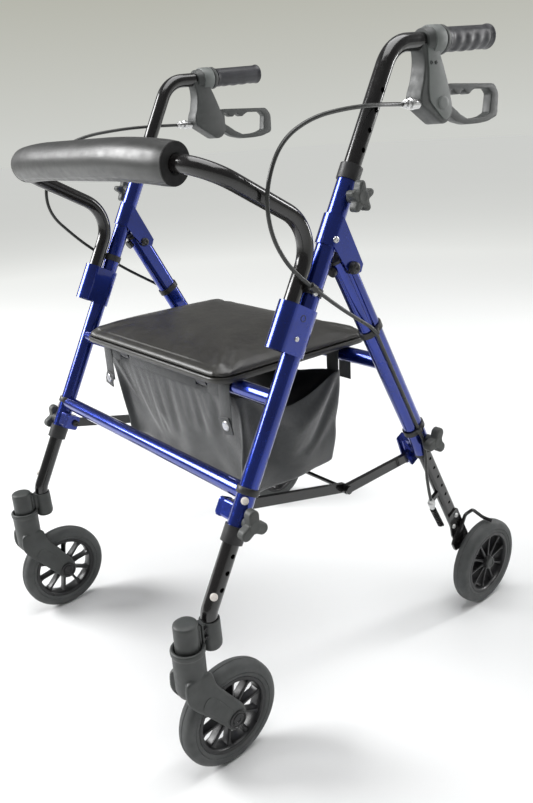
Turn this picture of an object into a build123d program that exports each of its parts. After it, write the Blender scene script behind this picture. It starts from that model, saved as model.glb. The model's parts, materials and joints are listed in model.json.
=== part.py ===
from build123d import *
import os
from math import atan2, cos, degrees, hypot, pi, radians, sin, tan

os.makedirs("parts", exist_ok=True)

# Folding rollator walker, in millimetres. The origin is on the floor, midway between the wheels.
# +Z is up, the casters and the backrest face -Y, the hand grips point to +Y and +X is the user's left.
# Everything is made on the left side (+X) and mirrored to the right.

# ---- driving dimensions ----
SIDE_X = 250.0  # plane of the legs, from the middle
FIT_GAP = 0.3  # clearance between pieces that slide or turn past each other
RUNNING_GAP = 0.05  # radial clearance of a pin in its bore
SKIN_GAP = 0.1  # clearance between a curved skin and what it lies on

FRONT_TILT = 27.9  # front leg from the vertical, degrees
FRONT_BEND_Y = -286.5  # where the front leg turns vertical into the caster housing
FRONT_BEND_Z = 239.0
LEG_R = 12.7
LEG_BORE_R = 11.4
INNER_TUBE_R = 11.1
INNER_BORE_R = 9.6
LEG_BOTTOM = 100.0  # distances up the front leg from its bend
LEG_TOP = 570.0

PIVOT_Y = -32.0  # fold pivot of the rear legs
PIVOT_Z = 631.0
REAR_AXLE_Y = 271.0
WHEEL_R = 75.0
REAR_LEG_DEPTH = 33.0
REAR_LEG_THICK = 20.0
REAR_LEG_SHIFT = 2.0  # the rear leg's centre line stands this far ahead of the pivot line
REAR_LEG_WALL = 1.5
REAR_LEG_TOP = -15.0  # distances down the rear leg from the pivot
REAR_LEG_BOTTOM = 347.0
REAR_EXT_DEPTH = 24.0
REAR_EXT_THICK = 12.0
REAR_EXT_X = 247.9
REAR_EXT_TOP = 215.0
CABLE_R = 2.5
GROOVE_R = 3.4
GROOVE_N = 4.0  # the cable groove lies this far ahead of the pivot line
CABLE_LEG_X = 260.6
CABLE_EXIT_GAP = 0.3

CROSSBAR_R = 11.0
CROSSBAR_BORE_R = 9.6
LOWER_BAR_Z = 378.0
SEAT_BAR_Z = 485.0

FRONT_WHEEL_Y = -271.0
FRONT_WHEEL_X = 250.0
REAR_WHEEL_X = 277.0
WHEEL_WIDTH = 26.0
RIM_R = 55.0
RIM_INNER_R = 48.5
HUB_R = 11.0
AXLE_R = 4.0
SPOKES = 10
STEM_Y = -322.0  # vertical swivel axis of the caster
STEM_R = 16.0
FORK_RING_R = 21.0
FORK_ARM = 6.5

BACKREST_R = 10.5
BACKREST_OFFSET = -27.0  # the backrest tube in its socket, ahead of the front leg's axis
BACKREST_PAD_R = 25.0
BACKREST_PAD_LEFT = 200.0  # ends of the padded roll, which sits off centre
BACKREST_PAD_RIGHT = -178.0

SEAT_HALF_X = 186.0
SEAT_FRONT_Y = -196.0
SEAT_BACK_Y = 88.0
SEAT_BOARD_Z = 498.6
SEAT_PAD_Z = 504.0
SEAT_TOP_Z = 535.0

BAG_HALF_X = 176.0
BAG_WALL = 1.6

GRIP_START_Y = 158.0
GRIP_END_Y = 264.0
GRIP_LINE_Y = 162.0  # one point of the hand grip's centre line, and its slope
GRIP_LINE_Z = 897.0
GRIP_SLOPE = 0.07
LEVER_PIVOT = (149.0, 816.0)

LINK_THICK = 7.0
LINK_HEIGHT = 14.0
FRONT_LINK_X = 216.5
REAR_LINK_X = 224.0
LINK_MID = (-15.0, 302.0)  # the stay's mid pin, in (y, z)

front_sin = sin(radians(FRONT_TILT))
front_cos = cos(radians(FRONT_TILT))
rear_drop = PIVOT_Z - WHEEL_R
rear_length = hypot(REAR_AXLE_Y - PIVOT_Y, rear_drop)
rear_sin = (REAR_AXLE_Y - PIVOT_Y) / rear_length
rear_cos = rear_drop / rear_length

nodes = {}


# ---- places ----
def front_yz(up, back=0.0):
    """(y, z) of a point up the front leg from its bend and square back from its axis."""
    y = FRONT_BEND_Y + up * front_sin + back * front_cos
    z = FRONT_BEND_Z + up * front_cos - back * front_sin
    return (y, z)


def rear_yz(down, ahead=0.0):
    """(y, z) of a point down the rear leg from its pivot and square ahead of the pivot line."""
    y = PIVOT_Y + down * rear_sin - ahead * rear_cos
    z = PIVOT_Z - down * rear_cos - ahead * rear_sin
    return (y, z)


def front_plane(up, x=SIDE_X):
    """Section plane of the front leg. Local x is +X, local y is square back from the leg."""
    return Plane(origin=(x, *front_yz(up)), x_dir=(1, 0, 0), z_dir=(0, front_sin, front_cos))


def rear_plane(down, x=SIDE_X):
    """Section plane of the rear leg. Local x is +X, local y is square ahead of the leg."""
    return Plane(origin=(x, *rear_yz(down)), x_dir=(1, 0, 0), z_dir=(0, rear_sin, -rear_cos))


def side_plane(x):
    """Plane facing +X, where a local point is (y, z)."""
    return Plane(origin=(x, 0, 0), x_dir=(0, 1, 0), z_dir=(1, 0, 0))


# ---- plain shapes ----
def outline(points, rounding=0.0):
    """Closed outline through (y, z) points, with its corners rounded."""
    face = make_face(Polyline(*points, close=True))
    if rounding:
        face = fillet(face.vertices(), rounding)
    return face


def plate(shape, x_low, x_high):
    """A (y, z) outline given the thickness from x_low to x_high."""
    return extrude(side_plane(x_low) * shape, x_high - x_low)


def disc(center, x_low, x_high, radius):
    """Round boss, pin or hole along X about a (y, z) centre."""
    return plate(Pos(*center) * Circle(radius), x_low, x_high)


def rod(start, end, radius):
    """Round bar between two points."""
    axis = Vector(*end) - Vector(*start)
    return extrude(Plane(origin=start, z_dir=axis) * Circle(radius), axis.length)


def upright(x, y, z_low, z_high, radius):
    """Vertical round bar."""
    return rod((x, y, z_low), (x, y, z_high), radius)


def swept(path, section):
    """A section carried along a path from its start."""
    return sweep(Plane(origin=path @ 0, z_dir=path % 0) * section, path=path)


def both(piece):
    """The piece and its mirror image, as two solids."""
    return Compound(children=[*piece.solids(), *mirror(piece, about=Plane.YZ).solids()])


def group(*pieces):
    """Several separate solids in one node."""
    return Compound(children=[solid for piece in pieces for solid in piece.solids()])


def each_side(name, piece):
    """Left and right nodes of one piece."""
    nodes[name + "_left"] = group(piece)
    nodes[name + "_right"] = group(mirror(piece, about=Plane.YZ))


# ---- front frame ----
FRONT_KNOB_UP = 124.0
STAR_KNOB_UP = 541.0
REAR_KNOB_DOWN = 330.0
REAR_KNOB_AHEAD = -6.0
KNOB_HOLE_R = 4.1
SOCKET_LOW = 336.0
SOCKET_HIGH = 396.0
CHEEK_IN = 12.9
CHEEK_OUT = 15.3
PIVOT_BOLT_R = 4.0


def front_leg():
    tube = extrude(front_plane(LEG_BOTTOM) * (Circle(LEG_R) - Circle(LEG_BORE_R)), LEG_TOP - LEG_BOTTOM)
    for up in (FRONT_KNOB_UP, STAR_KNOB_UP):
        tube -= disc(front_yz(up), SIDE_X, SIDE_X + LEG_R + 1, KNOB_HOLE_R)
    return tube


def leg_core(radius, low, high):
    return extrude(front_plane(low) * Circle(radius), high - low)


def coped_crossbar(z):
    """Hollow crossbar between the front legs, its ends cut to fit round the leg tubes."""
    up = (z - FRONT_BEND_Z) / front_cos
    center = front_yz(up)
    bar = disc(center, -SIDE_X, SIDE_X, CROSSBAR_R) - disc(center, -SIDE_X, SIDE_X, CROSSBAR_BORE_R)
    core = leg_core(LEG_R + 0.02, up - 40, up + 40)
    return bar - core - mirror(core, about=Plane.YZ)


def pivot_gusset():
    """Folded plate wrapped round the front of the leg, whose cheeks carry the fold pivot."""
    wrap_low, wrap_high = 477.0, 515.0
    ring = extrude(front_plane(wrap_low) * (Circle(CHEEK_OUT) - Circle(CHEEK_IN)), wrap_high - wrap_low)
    behind = Box(60, 40, 120, align=(Align.CENTER, Align.MIN, Align.CENTER))
    ring -= front_plane((wrap_low + wrap_high) / 2) * behind
    corners = [(wrap_low, -0.01), (467, 18), (459, 38), (459, 50), (466, 58), (476, 57), (wrap_high, -0.01)]
    cheek = outline([front_yz(up, back) for up, back in corners])
    left = plate(cheek, SIDE_X + CHEEK_IN, SIDE_X + CHEEK_OUT)
    right = plate(cheek, SIDE_X - CHEEK_OUT, SIDE_X - CHEEK_IN)
    bolt_hole = disc((PIVOT_Y, PIVOT_Z), SIDE_X - 20, SIDE_X + 20, PIVOT_BOLT_R + SKIN_GAP)
    return ring + left + right - bolt_hole


def backrest_socket():
    """Twin sleeve that holds the backrest tube against the front of the leg."""
    wall = 2.6
    middle = Pos(0, BACKREST_OFFSET / 2)
    section = middle * SlotCenterToCenter(-BACKREST_OFFSET, 2 * (LEG_R + wall), rotation=90)
    section -= Circle(LEG_R + SKIN_GAP)
    section -= Pos(0, BACKREST_OFFSET) * Circle(BACKREST_R + FIT_GAP)
    return extrude(front_plane(SOCKET_LOW) * section, SOCKET_HIGH - SOCKET_LOW)


def leg_bush(end, outward, reach, lip, outer_r):
    """Plastic bush over a tube end. reach covers the tube and lip stands past it."""
    sleeve_low = min(end, end - outward * reach)
    lip_low = min(end, end + outward * lip)
    sleeve = extrude(front_plane(sleeve_low) * (Circle(outer_r) - Circle(LEG_R + SKIN_GAP)), reach)
    mouth = extrude(front_plane(lip_low) * (Circle(outer_r) - Circle(LEG_BORE_R)), lip)
    return sleeve + mouth


FRONT_LINK_PIN = front_yz(129.0, 6.0)
REAR_LINK_PIN = rear_yz(360.0, 14.0)
BRACKET_WALL = 2.5
BRACKET_GAP = 0.5
LINK_PIN_R = 3.0


def front_link_bracket():
    """Clevis on the inner side of the front leg for the front stay link."""
    foot, head = 117.0, 141.0
    shape = outline([front_yz(foot, -9), front_yz(foot, 12), front_yz(head, 12), front_yz(head, -9)], 4)
    low = FRONT_LINK_X - BRACKET_GAP
    high = FRONT_LINK_X + LINK_THICK + BRACKET_GAP
    inner = plate(shape, low - BRACKET_WALL, low)
    outer = plate(shape, high, SIDE_X)
    web_shape = outline([front_yz(foot, -9), front_yz(foot, -6), front_yz(head, -6), front_yz(head, -9)])
    web = plate(web_shape, low, high)
    recess_foot, recess_head = foot + 3, head - 3
    recess = outline([
        front_yz(recess_foot, -6),
        front_yz(recess_foot, 13),
        front_yz(recess_head, 13),
        front_yz(recess_head, -6),
    ])
    hollow = plate(recess, high + BRACKET_WALL, SIDE_X - LEG_R + 2)
    body = inner + outer + web - hollow - leg_core(LEG_R + 0.02, 90, 160)
    return body - disc(FRONT_LINK_PIN, low - 10, high + BRACKET_WALL + 1, LINK_PIN_R + SKIN_GAP)


def dome_head(center, x_low, height, radius):
    """Round screw or rivet head along +X."""
    head = disc(center, x_low, x_low + height, radius)
    return fillet(head.edges().sort_by(Axis.X)[-1], height * 0.6)


def front_fasteners():
    """Pivot bolts, link pins, socket screws and leg rivets."""
    pivot = disc((PIVOT_Y, PIVOT_Z), SIDE_X - 18, SIDE_X + 17, PIVOT_BOLT_R)
    pivot += dome_head((PIVOT_Y, PIVOT_Z), SIDE_X + CHEEK_OUT, 7, 8)
    pivot += disc((PIVOT_Y, PIVOT_Z), SIDE_X - CHEEK_OUT - 5, SIDE_X - CHEEK_OUT, 7)
    low = FRONT_LINK_X - BRACKET_GAP - BRACKET_WALL
    high = FRONT_LINK_X + LINK_THICK + BRACKET_GAP + BRACKET_WALL
    link_pin = disc(FRONT_LINK_PIN, low - 4, high + 3, LINK_PIN_R)
    link_pin += disc(FRONT_LINK_PIN, low - 4, low, 6)
    link_pin += disc(FRONT_LINK_PIN, high, high + 4, 6)
    socket_face = SIDE_X + LEG_R + 2.6
    screws = [dome_head(front_yz(up, -12.5), socket_face, 2.5, 4) for up in (352.0, 380.0)]
    rivet = dome_head(front_yz(488, 0), SIDE_X + CHEEK_OUT, 2.0, 4)
    return group(pivot, link_pin, *screws, rivet)


# ---- rear frame ----
def rear_leg_outer(grow=0.0):
    depth = REAR_LEG_DEPTH + 2 * grow
    thick = REAR_LEG_THICK + 2 * grow
    return Pos(0, REAR_LEG_SHIFT) * SlotOverall(depth, thick, rotation=90)


def groove_circle(radius):
    return Pos(CABLE_LEG_X - SIDE_X, GROOVE_N) * Circle(radius)


def rear_leg():
    """Flat-oval tube with a groove down its outer face for the brake cable."""
    section = rear_leg_outer() - groove_circle(GROOVE_R)
    section -= rear_leg_outer(-REAR_LEG_WALL) - groove_circle(GROOVE_R + REAR_LEG_WALL)
    leg = extrude(rear_plane(REAR_LEG_TOP) * section, REAR_LEG_BOTTOM - REAR_LEG_TOP)
    leg -= disc((PIVOT_Y, PIVOT_Z), SIDE_X - 15, SIDE_X + 15, PIVOT_BOLT_R + RUNNING_GAP)
    knob = rear_yz(REAR_KNOB_DOWN, REAR_KNOB_AHEAD)
    return leg - disc(knob, SIDE_X + 4, SIDE_X + 12, KNOB_HOLE_R)


def rear_ext_section(grow=0.0):
    depth = REAR_EXT_DEPTH + 2 * grow
    thick = REAR_EXT_THICK + 2 * grow
    return Pos(REAR_EXT_X - SIDE_X, REAR_LEG_SHIFT) * SlotOverall(depth, thick, rotation=90)


def rear_bushings():
    """Top cap, pivot washers and the guide bush that closes the leg's lower end."""
    cap = extrude(rear_plane(REAR_LEG_TOP - 4) * rear_leg_outer(-0.2), 4)
    bumper = rod((SIDE_X, *rear_yz(-8, 19.2)), (SIDE_X, *rear_yz(-8, 24)), 7)
    reach = CHEEK_IN - REAR_LEG_THICK / 2 - FIT_GAP
    washers = []
    for side in (-1, 1):
        inner = SIDE_X + side * REAR_LEG_THICK / 2
        outer = inner + side * reach
        low, high = min(inner, outer), max(inner, outer)
        washer = disc((PIVOT_Y, PIVOT_Z), low, high, 8)
        washers.append(washer - disc((PIVOT_Y, PIVOT_Z), low, high, PIVOT_BOLT_R + RUNNING_GAP))
    guide = extrude(rear_plane(REAR_LEG_BOTTOM) * (rear_leg_outer() - rear_ext_section(FIT_GAP)), 6)
    guide -= extrude(rear_plane(REAR_LEG_BOTTOM) * groove_circle(GROOVE_R), 6)
    return group(cap, bumper, *washers, guide)


def rear_link_bracket():
    """Clevis on the inner side of the rear leg. Its cheeks join below the pin, out of the link's sweep."""
    head, foot = 318.0, 373.0
    shape = outline([
        rear_yz(head, 3),
        rear_yz(head, 19),
        rear_yz(356, 24),
        rear_yz(foot, 22),
        rear_yz(foot, 6),
        rear_yz(352, 3),
    ], 3)
    low = REAR_LINK_X - BRACKET_GAP
    high = REAR_LINK_X + LINK_THICK + BRACKET_GAP
    inner = plate(shape, low - BRACKET_WALL, low)
    outer = plate(shape, high, high + BRACKET_WALL)
    web_head = foot - BRACKET_WALL
    web_shape = outline([rear_yz(web_head, 9), rear_yz(web_head, 19), rear_yz(foot, 19), rear_yz(foot, 9)])
    web = plate(web_shape, low, high)
    weld = outline([rear_yz(head, 4), rear_yz(head, 17), rear_yz(340, 17), rear_yz(340, 4)])
    weld_block = plate(weld, high, SIDE_X + 3) - extrude(rear_plane(300) * rear_leg_outer(0.02), 60)
    body = inner + outer + web + weld_block
    return body - disc(REAR_LINK_PIN, low - 5, high + 5, LINK_PIN_R + SKIN_GAP)


def rear_cable_clip(down):
    """Band round the rear leg that holds the cable in its groove."""
    section = rear_leg_outer(2.2) + groove_circle(CABLE_R + 2.6)
    section -= rear_leg_outer(SKIN_GAP)
    band = extrude(rear_plane(down) * section, 9)
    return band - swept(cable_path("left"), Circle(CABLE_R + SKIN_GAP))


# ---- folding stay ----
def link_bar(start, end, x_low):
    """Flat bar with round ends between two pins, in (y, z)."""
    length = hypot(end[0] - start[0], end[1] - start[1])
    angle = degrees(atan2(end[1] - start[1], end[0] - start[0]))
    middle = Pos((start[0] + end[0]) / 2, (start[1] + end[1]) / 2)
    return plate(middle * SlotCenterToCenter(length, LINK_HEIGHT, rotation=angle), x_low, x_low + LINK_THICK)


def front_link():
    bar = link_bar(FRONT_LINK_PIN, LINK_MID, FRONT_LINK_X)
    return bar - disc(FRONT_LINK_PIN, FRONT_LINK_X - 1, FRONT_LINK_X + 9, LINK_PIN_R + RUNNING_GAP)


def rear_link():
    """Rear bar of the stay, with its own pin and the mid joint's bolt head on its outer side."""
    bar = link_bar(REAR_LINK_PIN, LINK_MID, REAR_LINK_X)
    high = REAR_LINK_X + LINK_THICK
    bar += disc(LINK_MID, high, high + 4, 6)
    return bar - disc(REAR_LINK_PIN, REAR_LINK_X - 1, high + 1, LINK_PIN_R + RUNNING_GAP)


def rear_link_pin():
    low = REAR_LINK_X - BRACKET_GAP - BRACKET_WALL
    high = REAR_LINK_X + LINK_THICK + BRACKET_GAP + BRACKET_WALL
    pin = disc(REAR_LINK_PIN, low - 3, high + 3, LINK_PIN_R)
    return pin + disc(REAR_LINK_PIN, low - 3, low, 6) + disc(REAR_LINK_PIN, high, high + 3, 6)


# ---- seat ----
def rounded_block(half_x, y_low, y_high, z_low, z_high, corner):
    shape = Pos(0, (y_low + y_high) / 2) * RectangleRounded(2 * half_x, y_high - y_low, corner)
    return extrude(Plane.XY.offset(z_low) * shape, z_high - z_low)


SEAT_BAR_Y = front_yz((SEAT_BAR_Z - FRONT_BEND_Z) / front_cos)[0]


def seat_pad():
    pad = rounded_block(SEAT_HALF_X, SEAT_FRONT_Y, SEAT_BACK_Y, SEAT_PAD_Z, SEAT_TOP_Z, 34)
    return fillet(pad.faces().sort_by(Axis.Z)[-1].edges(), 14)


def seat_board():
    return rounded_block(SEAT_HALF_X - 4, SEAT_FRONT_Y + 4, SEAT_BACK_Y - 4, SEAT_BOARD_Z, SEAT_PAD_Z, 30)


def seat_clip(x):
    """Saddle clip under the board that turns on the front crossbar."""
    center = (SEAT_BAR_Y, SEAT_BAR_Z)
    saddle = Pos(SEAT_BAR_Y, SEAT_BAR_Z + 6) * Rectangle(28, 15.2)
    saddle += Pos(*center) * Circle(CROSSBAR_R + 3)
    body = plate(saddle, x - 12, x + 12)
    body -= disc(center, x - 13, x + 13, CROSSBAR_R + RUNNING_GAP)
    keep = Pos(x, SEAT_BAR_Y, SEAT_BOARD_Z) * Box(80, 80, 60, align=(Align.CENTER, Align.CENTER, Align.MAX))
    return body & keep


# ---- storage bag ----
BAG_TOP_FRONT = (-162.0, 471.0)
BAG_SAG = (-20.0, 445.0)
BAG_TOP_BACK = (42.0, 460.0)
BAG_BOTTOM_BACK = (34.0, 307.0)
BAG_BOTTOM_FRONT = (-143.0, 307.0)


def storage_bag():
    """Open-topped fabric bag whose side panels sag between the crossbars."""
    outside = outline([BAG_TOP_FRONT, BAG_BOTTOM_FRONT, BAG_BOTTOM_BACK, BAG_TOP_BACK, BAG_SAG])
    body = plate(outside, -BAG_HALF_X, BAG_HALF_X)
    inside = outline([
        (BAG_TOP_FRONT[0] + BAG_WALL, 500.0),
        (BAG_TOP_FRONT[0] + BAG_WALL, BAG_TOP_FRONT[1]),
        (BAG_BOTTOM_FRONT[0] + BAG_WALL, BAG_BOTTOM_FRONT[1] + BAG_WALL),
        (BAG_BOTTOM_BACK[0] - BAG_WALL, BAG_BOTTOM_BACK[1] + BAG_WALL),
        (BAG_TOP_BACK[0] - BAG_WALL, BAG_TOP_BACK[1]),
        (BAG_TOP_BACK[0] - BAG_WALL, 500.0),
    ])
    return body - plate(inside, -BAG_HALF_X + BAG_WALL, BAG_HALF_X - BAG_WALL)


def bag_strap(center, x, front_drop, back_drop):
    """Strap looped over a crossbar, with two tails that hang down to the bag."""
    thick = 1.4
    inner = CROSSBAR_R + FIT_GAP
    outer = inner + thick
    y, z = center
    loop = Pos(y, z) * (Circle(outer) - Circle(inner))
    loop -= Pos(y, z) * Rectangle(60, 60, align=(Align.CENTER, Align.MAX))
    tail = Pos(y - inner, z) * Rectangle(thick, front_drop, align=(Align.MAX, Align.MAX))
    back = Pos(y + inner, z) * Rectangle(thick, back_drop, align=(Align.MIN, Align.MAX))
    return plate(loop + tail + back, x - 13, x + 13)


# ---- backrest ----
REST_SLOPE = 28.0  # the padded bow rises forward at this angle
REST_CORNER = front_yz(490.2, BACKREST_OFFSET)


def rest_point(x, along):
    """Point in the padded bow's sloping plane, by its distance forward and up from the corner."""
    y = REST_CORNER[0] - along * cos(radians(REST_SLOPE))
    z = REST_CORNER[1] + along * sin(radians(REST_SLOPE))
    return (x, y, z)


BOW_SIDE = 173.0
BOW_FRONT = 196.0
BOW_HALF = 125.0
socket_foot = (SIDE_X, *front_yz(SOCKET_LOW + 4, BACKREST_OFFSET))
bow_corner = (SIDE_X, *REST_CORNER)
bow_side_points = [socket_foot, bow_corner, rest_point(SIDE_X, BOW_SIDE), rest_point(BOW_HALF, BOW_FRONT)]
bow_points = bow_side_points + [(-x, y, z) for x, y, z in reversed(bow_side_points)]
BOW_RADII = [50.0, 45.0, 900.0, 900.0, 45.0, 50.0]


def backrest_tube():
    path = FilletPolyline(*bow_points, radius=BOW_RADII)
    return swept(path, Circle(BACKREST_R) - Circle(BACKREST_R - 1.5))


def backrest_pad():
    """Foam roll round the middle of the bow."""
    slope = (BOW_FRONT - BOW_SIDE) / (SIDE_X - BOW_HALF)
    left_along = BOW_FRONT - (BACKREST_PAD_LEFT - BOW_HALF) * slope
    right_along = BOW_FRONT + (BACKREST_PAD_RIGHT + BOW_HALF) * slope
    path = FilletPolyline(
        rest_point(BACKREST_PAD_LEFT, left_along),
        rest_point(BOW_HALF, BOW_FRONT),
        rest_point(-BOW_HALF, BOW_FRONT),
        rest_point(BACKREST_PAD_RIGHT, right_along),
        radius=[500.0, 500.0],
    )
    tube_path = FilletPolyline(*bow_points, radius=BOW_RADII)
    roll = swept(path, Circle(BACKREST_PAD_R))
    return roll - swept(tube_path, Circle(BACKREST_R + SKIN_GAP))


# ---- handles ----
HANDLE_FOOT = 430.0
HANDLE_BEND_R = 50.0
handle_corner_up = (GRIP_LINE_Z - FRONT_BEND_Z + GRIP_SLOPE * (FRONT_BEND_Y - GRIP_LINE_Y)) / (
    front_cos - GRIP_SLOPE * front_sin)


def grip_point(y):
    """Centre of the grip line at a distance back."""
    return (SIDE_X, y, GRIP_LINE_Z + (y - GRIP_LINE_Y) * GRIP_SLOPE)


def grip_plane(y):
    """Section plane of the grip. Local x is +X and local z points back along the grip."""
    return Plane(origin=grip_point(y), x_dir=(1, 0, 0), z_dir=(0, 1, GRIP_SLOPE))


def handle_tube():
    """Bent tube that telescopes in the front leg, with a row of height holes."""
    path = FilletPolyline((SIDE_X, *front_yz(HANDLE_FOOT)), (SIDE_X, *front_yz(handle_corner_up)),
                          grip_point(GRIP_END_Y - 5), radius=[HANDLE_BEND_R])
    tube = swept(path, Circle(INNER_TUBE_R) - Circle(INNER_BORE_R))
    for step in range(4):
        tube -= disc(front_yz(600 + 25.4 * step), SIDE_X, SIDE_X + 14, 3.2)
    return tube


def hand_grip():
    """Moulded grip with finger grooves, closed at its end."""
    length = GRIP_END_Y - GRIP_START_Y
    edge = [(INNER_TUBE_R + SKIN_GAP, 0), (16.5, 0), (16.5, 5)]
    grooves = 4
    pitch = (length - 18) / grooves
    for groove in range(grooves):
        start = 6 + groove * pitch
        edge += [(16.5, start + 1), (14.6, start + pitch / 2), (16.5, start + pitch - 1)]
    edge += [(17.0, length - 9), (17.0, length - 3), (13.0, length), (0, length), (0, length - 4.5),
             (INNER_TUBE_R + SKIN_GAP, length - 4.5)]
    profile = make_face(Polyline(*edge, close=True))
    grip = revolve(Plane.XZ * profile, Axis.Z)
    return grip_plane(GRIP_START_Y) * grip


HOUSING_HALF = 14.5
SLOT_HALF = 8.3
LEVER_HALF = 7.0
FERRULE = (256.0, 72.0, 820.0)


def brake_housing():
    """Clamp and lever housing under the grip, slotted at the back for the lever."""
    side = outline([(101, 893), (106, 864), (101, 836), (101, 818), (147, 793), (161, 798), (167, 812),
                    (158, 841), (143, 873), (135, 896)], 4)
    body = plate(side, SIDE_X - HOUSING_HALF, SIDE_X + HOUSING_HALF)
    body += extrude(grip_plane(116) * Circle(17.5), 39)
    body -= extrude(grip_plane(90) * Circle(INNER_TUBE_R + SKIN_GAP), 90)
    slot = outline([(134, 780), (180, 780), (180, 854), (134, 854)])
    body -= plate(slot, SIDE_X - SLOT_HALF, SIDE_X + SLOT_HALF)
    body += disc(LEVER_PIVOT, SIDE_X - SLOT_HALF - 1, SIDE_X + SLOT_HALF + 1, 3)
    boss = disc((144, 818), SIDE_X + HOUSING_HALF, SIDE_X + HOUSING_HALF + 1.2, 11)
    return body + boss


def ferrule():
    """Metal cable end that screws into the front of the housing."""
    x, y, z = FERRULE
    return rod(FERRULE, (x, y + 14, z), 4) + rod((x, y + 14, z), (x, 101, z), 6)


def brake_lever():
    """Loop lever with a finger-bumped bar, turning on the housing's pin."""
    frame = outline([(140, 812), (146, 807), (165, 806), (186, 797), (209, 791.5), (255, 793), (282, 799),
                     (282, 834), (270, 844), (166, 844), (150, 828), (141, 821)], 2)
    window = outline([(172, 835), (193, 834), (208, 837), (224, 835), (255, 837), (260, 831), (258, 804),
                      (241, 798.5), (213, 801), (194, 809), (172, 818)], 1.5)
    lever = plate(frame - window, SIDE_X - LEVER_HALF, SIDE_X + LEVER_HALF)
    return lever - disc(LEVER_PIVOT, SIDE_X - 8, SIDE_X + 8, 3 + RUNNING_GAP)


# ---- knobs ----
def lobed_knob(center, base_x, tip_x, lobes, lobe_r, reach, thick, turn):
    """Clamp knob on a screw along X, with round lobes."""
    shape = Pos(*center) * Circle(reach)
    for lobe in range(lobes):
        angle = radians(turn + 360 * lobe / lobes)
        shape += Pos(center[0] + reach * cos(angle), center[1] + reach * sin(angle)) * Circle(lobe_r)
    head_x = base_x + 8
    knob = plate(shape, head_x, head_x + thick)
    knob += disc(center, base_x, head_x, 8)
    return knob + disc(center, tip_x, base_x, 3.8)


# ---- casters ----
def front_extension():
    """Telescoping lower leg, bent upright into the caster housing, with height holes."""
    path = FilletPolyline((SIDE_X, *front_yz(255)), (SIDE_X, FRONT_BEND_Y, FRONT_BEND_Z),
                          (SIDE_X, FRONT_BEND_Y, 193), radius=[30])
    tube = swept(path, Circle(INNER_TUBE_R) - Circle(INNER_BORE_R))
    for step in range(3):
        tube -= disc(front_yz(34 + 22 * step), SIDE_X, SIDE_X + 14, 3.2)
    return tube


def caster_housing():
    """Moulding that joins the leg's foot to the caster's upright stem."""
    stem = upright(SIDE_X, STEM_Y, 198, 243, STEM_R)
    stem = fillet(stem.edges().sort_by(Axis.Z)[-1], 5)
    socket = upright(SIDE_X, FRONT_BEND_Y, 189, 231, 14)
    web = Box(15, 34, 21, align=(Align.CENTER, Align.CENTER, Align.MIN))
    web = Pos(SIDE_X, (STEM_Y + FRONT_BEND_Y) / 2, 210) * web
    body = stem + socket + web
    body -= upright(SIDE_X, FRONT_BEND_Y, 193, 232, INNER_TUBE_R + SKIN_GAP)
    return body - upright(SIDE_X, STEM_Y, 197, 232, 5 + RUNNING_GAP)


def caster_fork():
    """Fork that swivels under the stem and trails back to the axle."""
    crown = upright(SIDE_X, STEM_Y, 138, 208, FORK_RING_R)
    arm = outline([(-341, 184), (-343, 150), (-332, 128), (-286, 72), (-278, 60), (-266, 58), (-257, 66),
                   (-256, 80), (-262, 96), (-301, 150), (-302, 184)], 4)
    body = crown + plate(arm, SIDE_X - FORK_RING_R, SIDE_X + FORK_RING_R)
    body += disc((FRONT_WHEEL_Y, WHEEL_R), SIDE_X - FORK_RING_R, SIDE_X + FORK_RING_R, 15)
    tyre_room = disc((FRONT_WHEEL_Y, WHEEL_R), SIDE_X - FORK_RING_R + FORK_ARM + 0.8,
                     SIDE_X + FORK_RING_R - FORK_ARM - 0.8, WHEEL_R + 4)
    body -= tyre_room
    body -= upright(SIDE_X, STEM_Y, 197, 209, STEM_R + 1.2)
    pin = upright(SIDE_X, STEM_Y, 190, 230, 5)
    axle = disc((FRONT_WHEEL_Y, WHEEL_R), SIDE_X - FORK_RING_R - 2, SIDE_X + FORK_RING_R + 2, AXLE_R)
    return body + pin + axle


# ---- wheels ----
def wheel_rim(y, x):
    """Moulded wheel centre with spokes between hub and rim."""
    low = x - WHEEL_WIDTH / 2 + 1
    high = x + WHEEL_WIDTH / 2 - 1
    center = (y, WHEEL_R)
    rim = disc(center, low, high, RIM_R) - disc(center, low, high, RIM_INNER_R)
    rim += disc(center, low, high, HUB_R)
    blade = Pos((HUB_R + RIM_INNER_R) / 2, 0) * Rectangle(RIM_INNER_R - HUB_R + 2, 5)
    for spoke in range(SPOKES):
        turned = Rot(0, 0, 360 * spoke / SPOKES) * blade
        rim += plate(Pos(*center) * turned, x - 8, x + 8)
    return rim - disc(center, low - 1, high + 1, AXLE_R + RUNNING_GAP)


def tyre(y, x):
    """Solid tyre with rounded shoulders."""
    half = WHEEL_WIDTH / 2
    section = Pos((RIM_R + SKIN_GAP + WHEEL_R) / 2, 0) * Rectangle(WHEEL_R - RIM_R - SKIN_GAP, 2 * half)
    section = fillet(section.vertices().sort_by(Axis.X)[-2:], 9)
    ring = revolve(Plane.XZ * section, Axis.Z)
    return Plane(origin=(x, y, WHEEL_R), z_dir=(1, 0, 0)) * ring


# ---- rear extension and brake ----
BRAKE_PIVOT = rear_yz(566.0, 17.0)
CABLE_END = (256.0, *rear_yz(437.0, 34.0))
CABLE_NEXT = (258.0, *rear_yz(395.0, 27.0))


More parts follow.
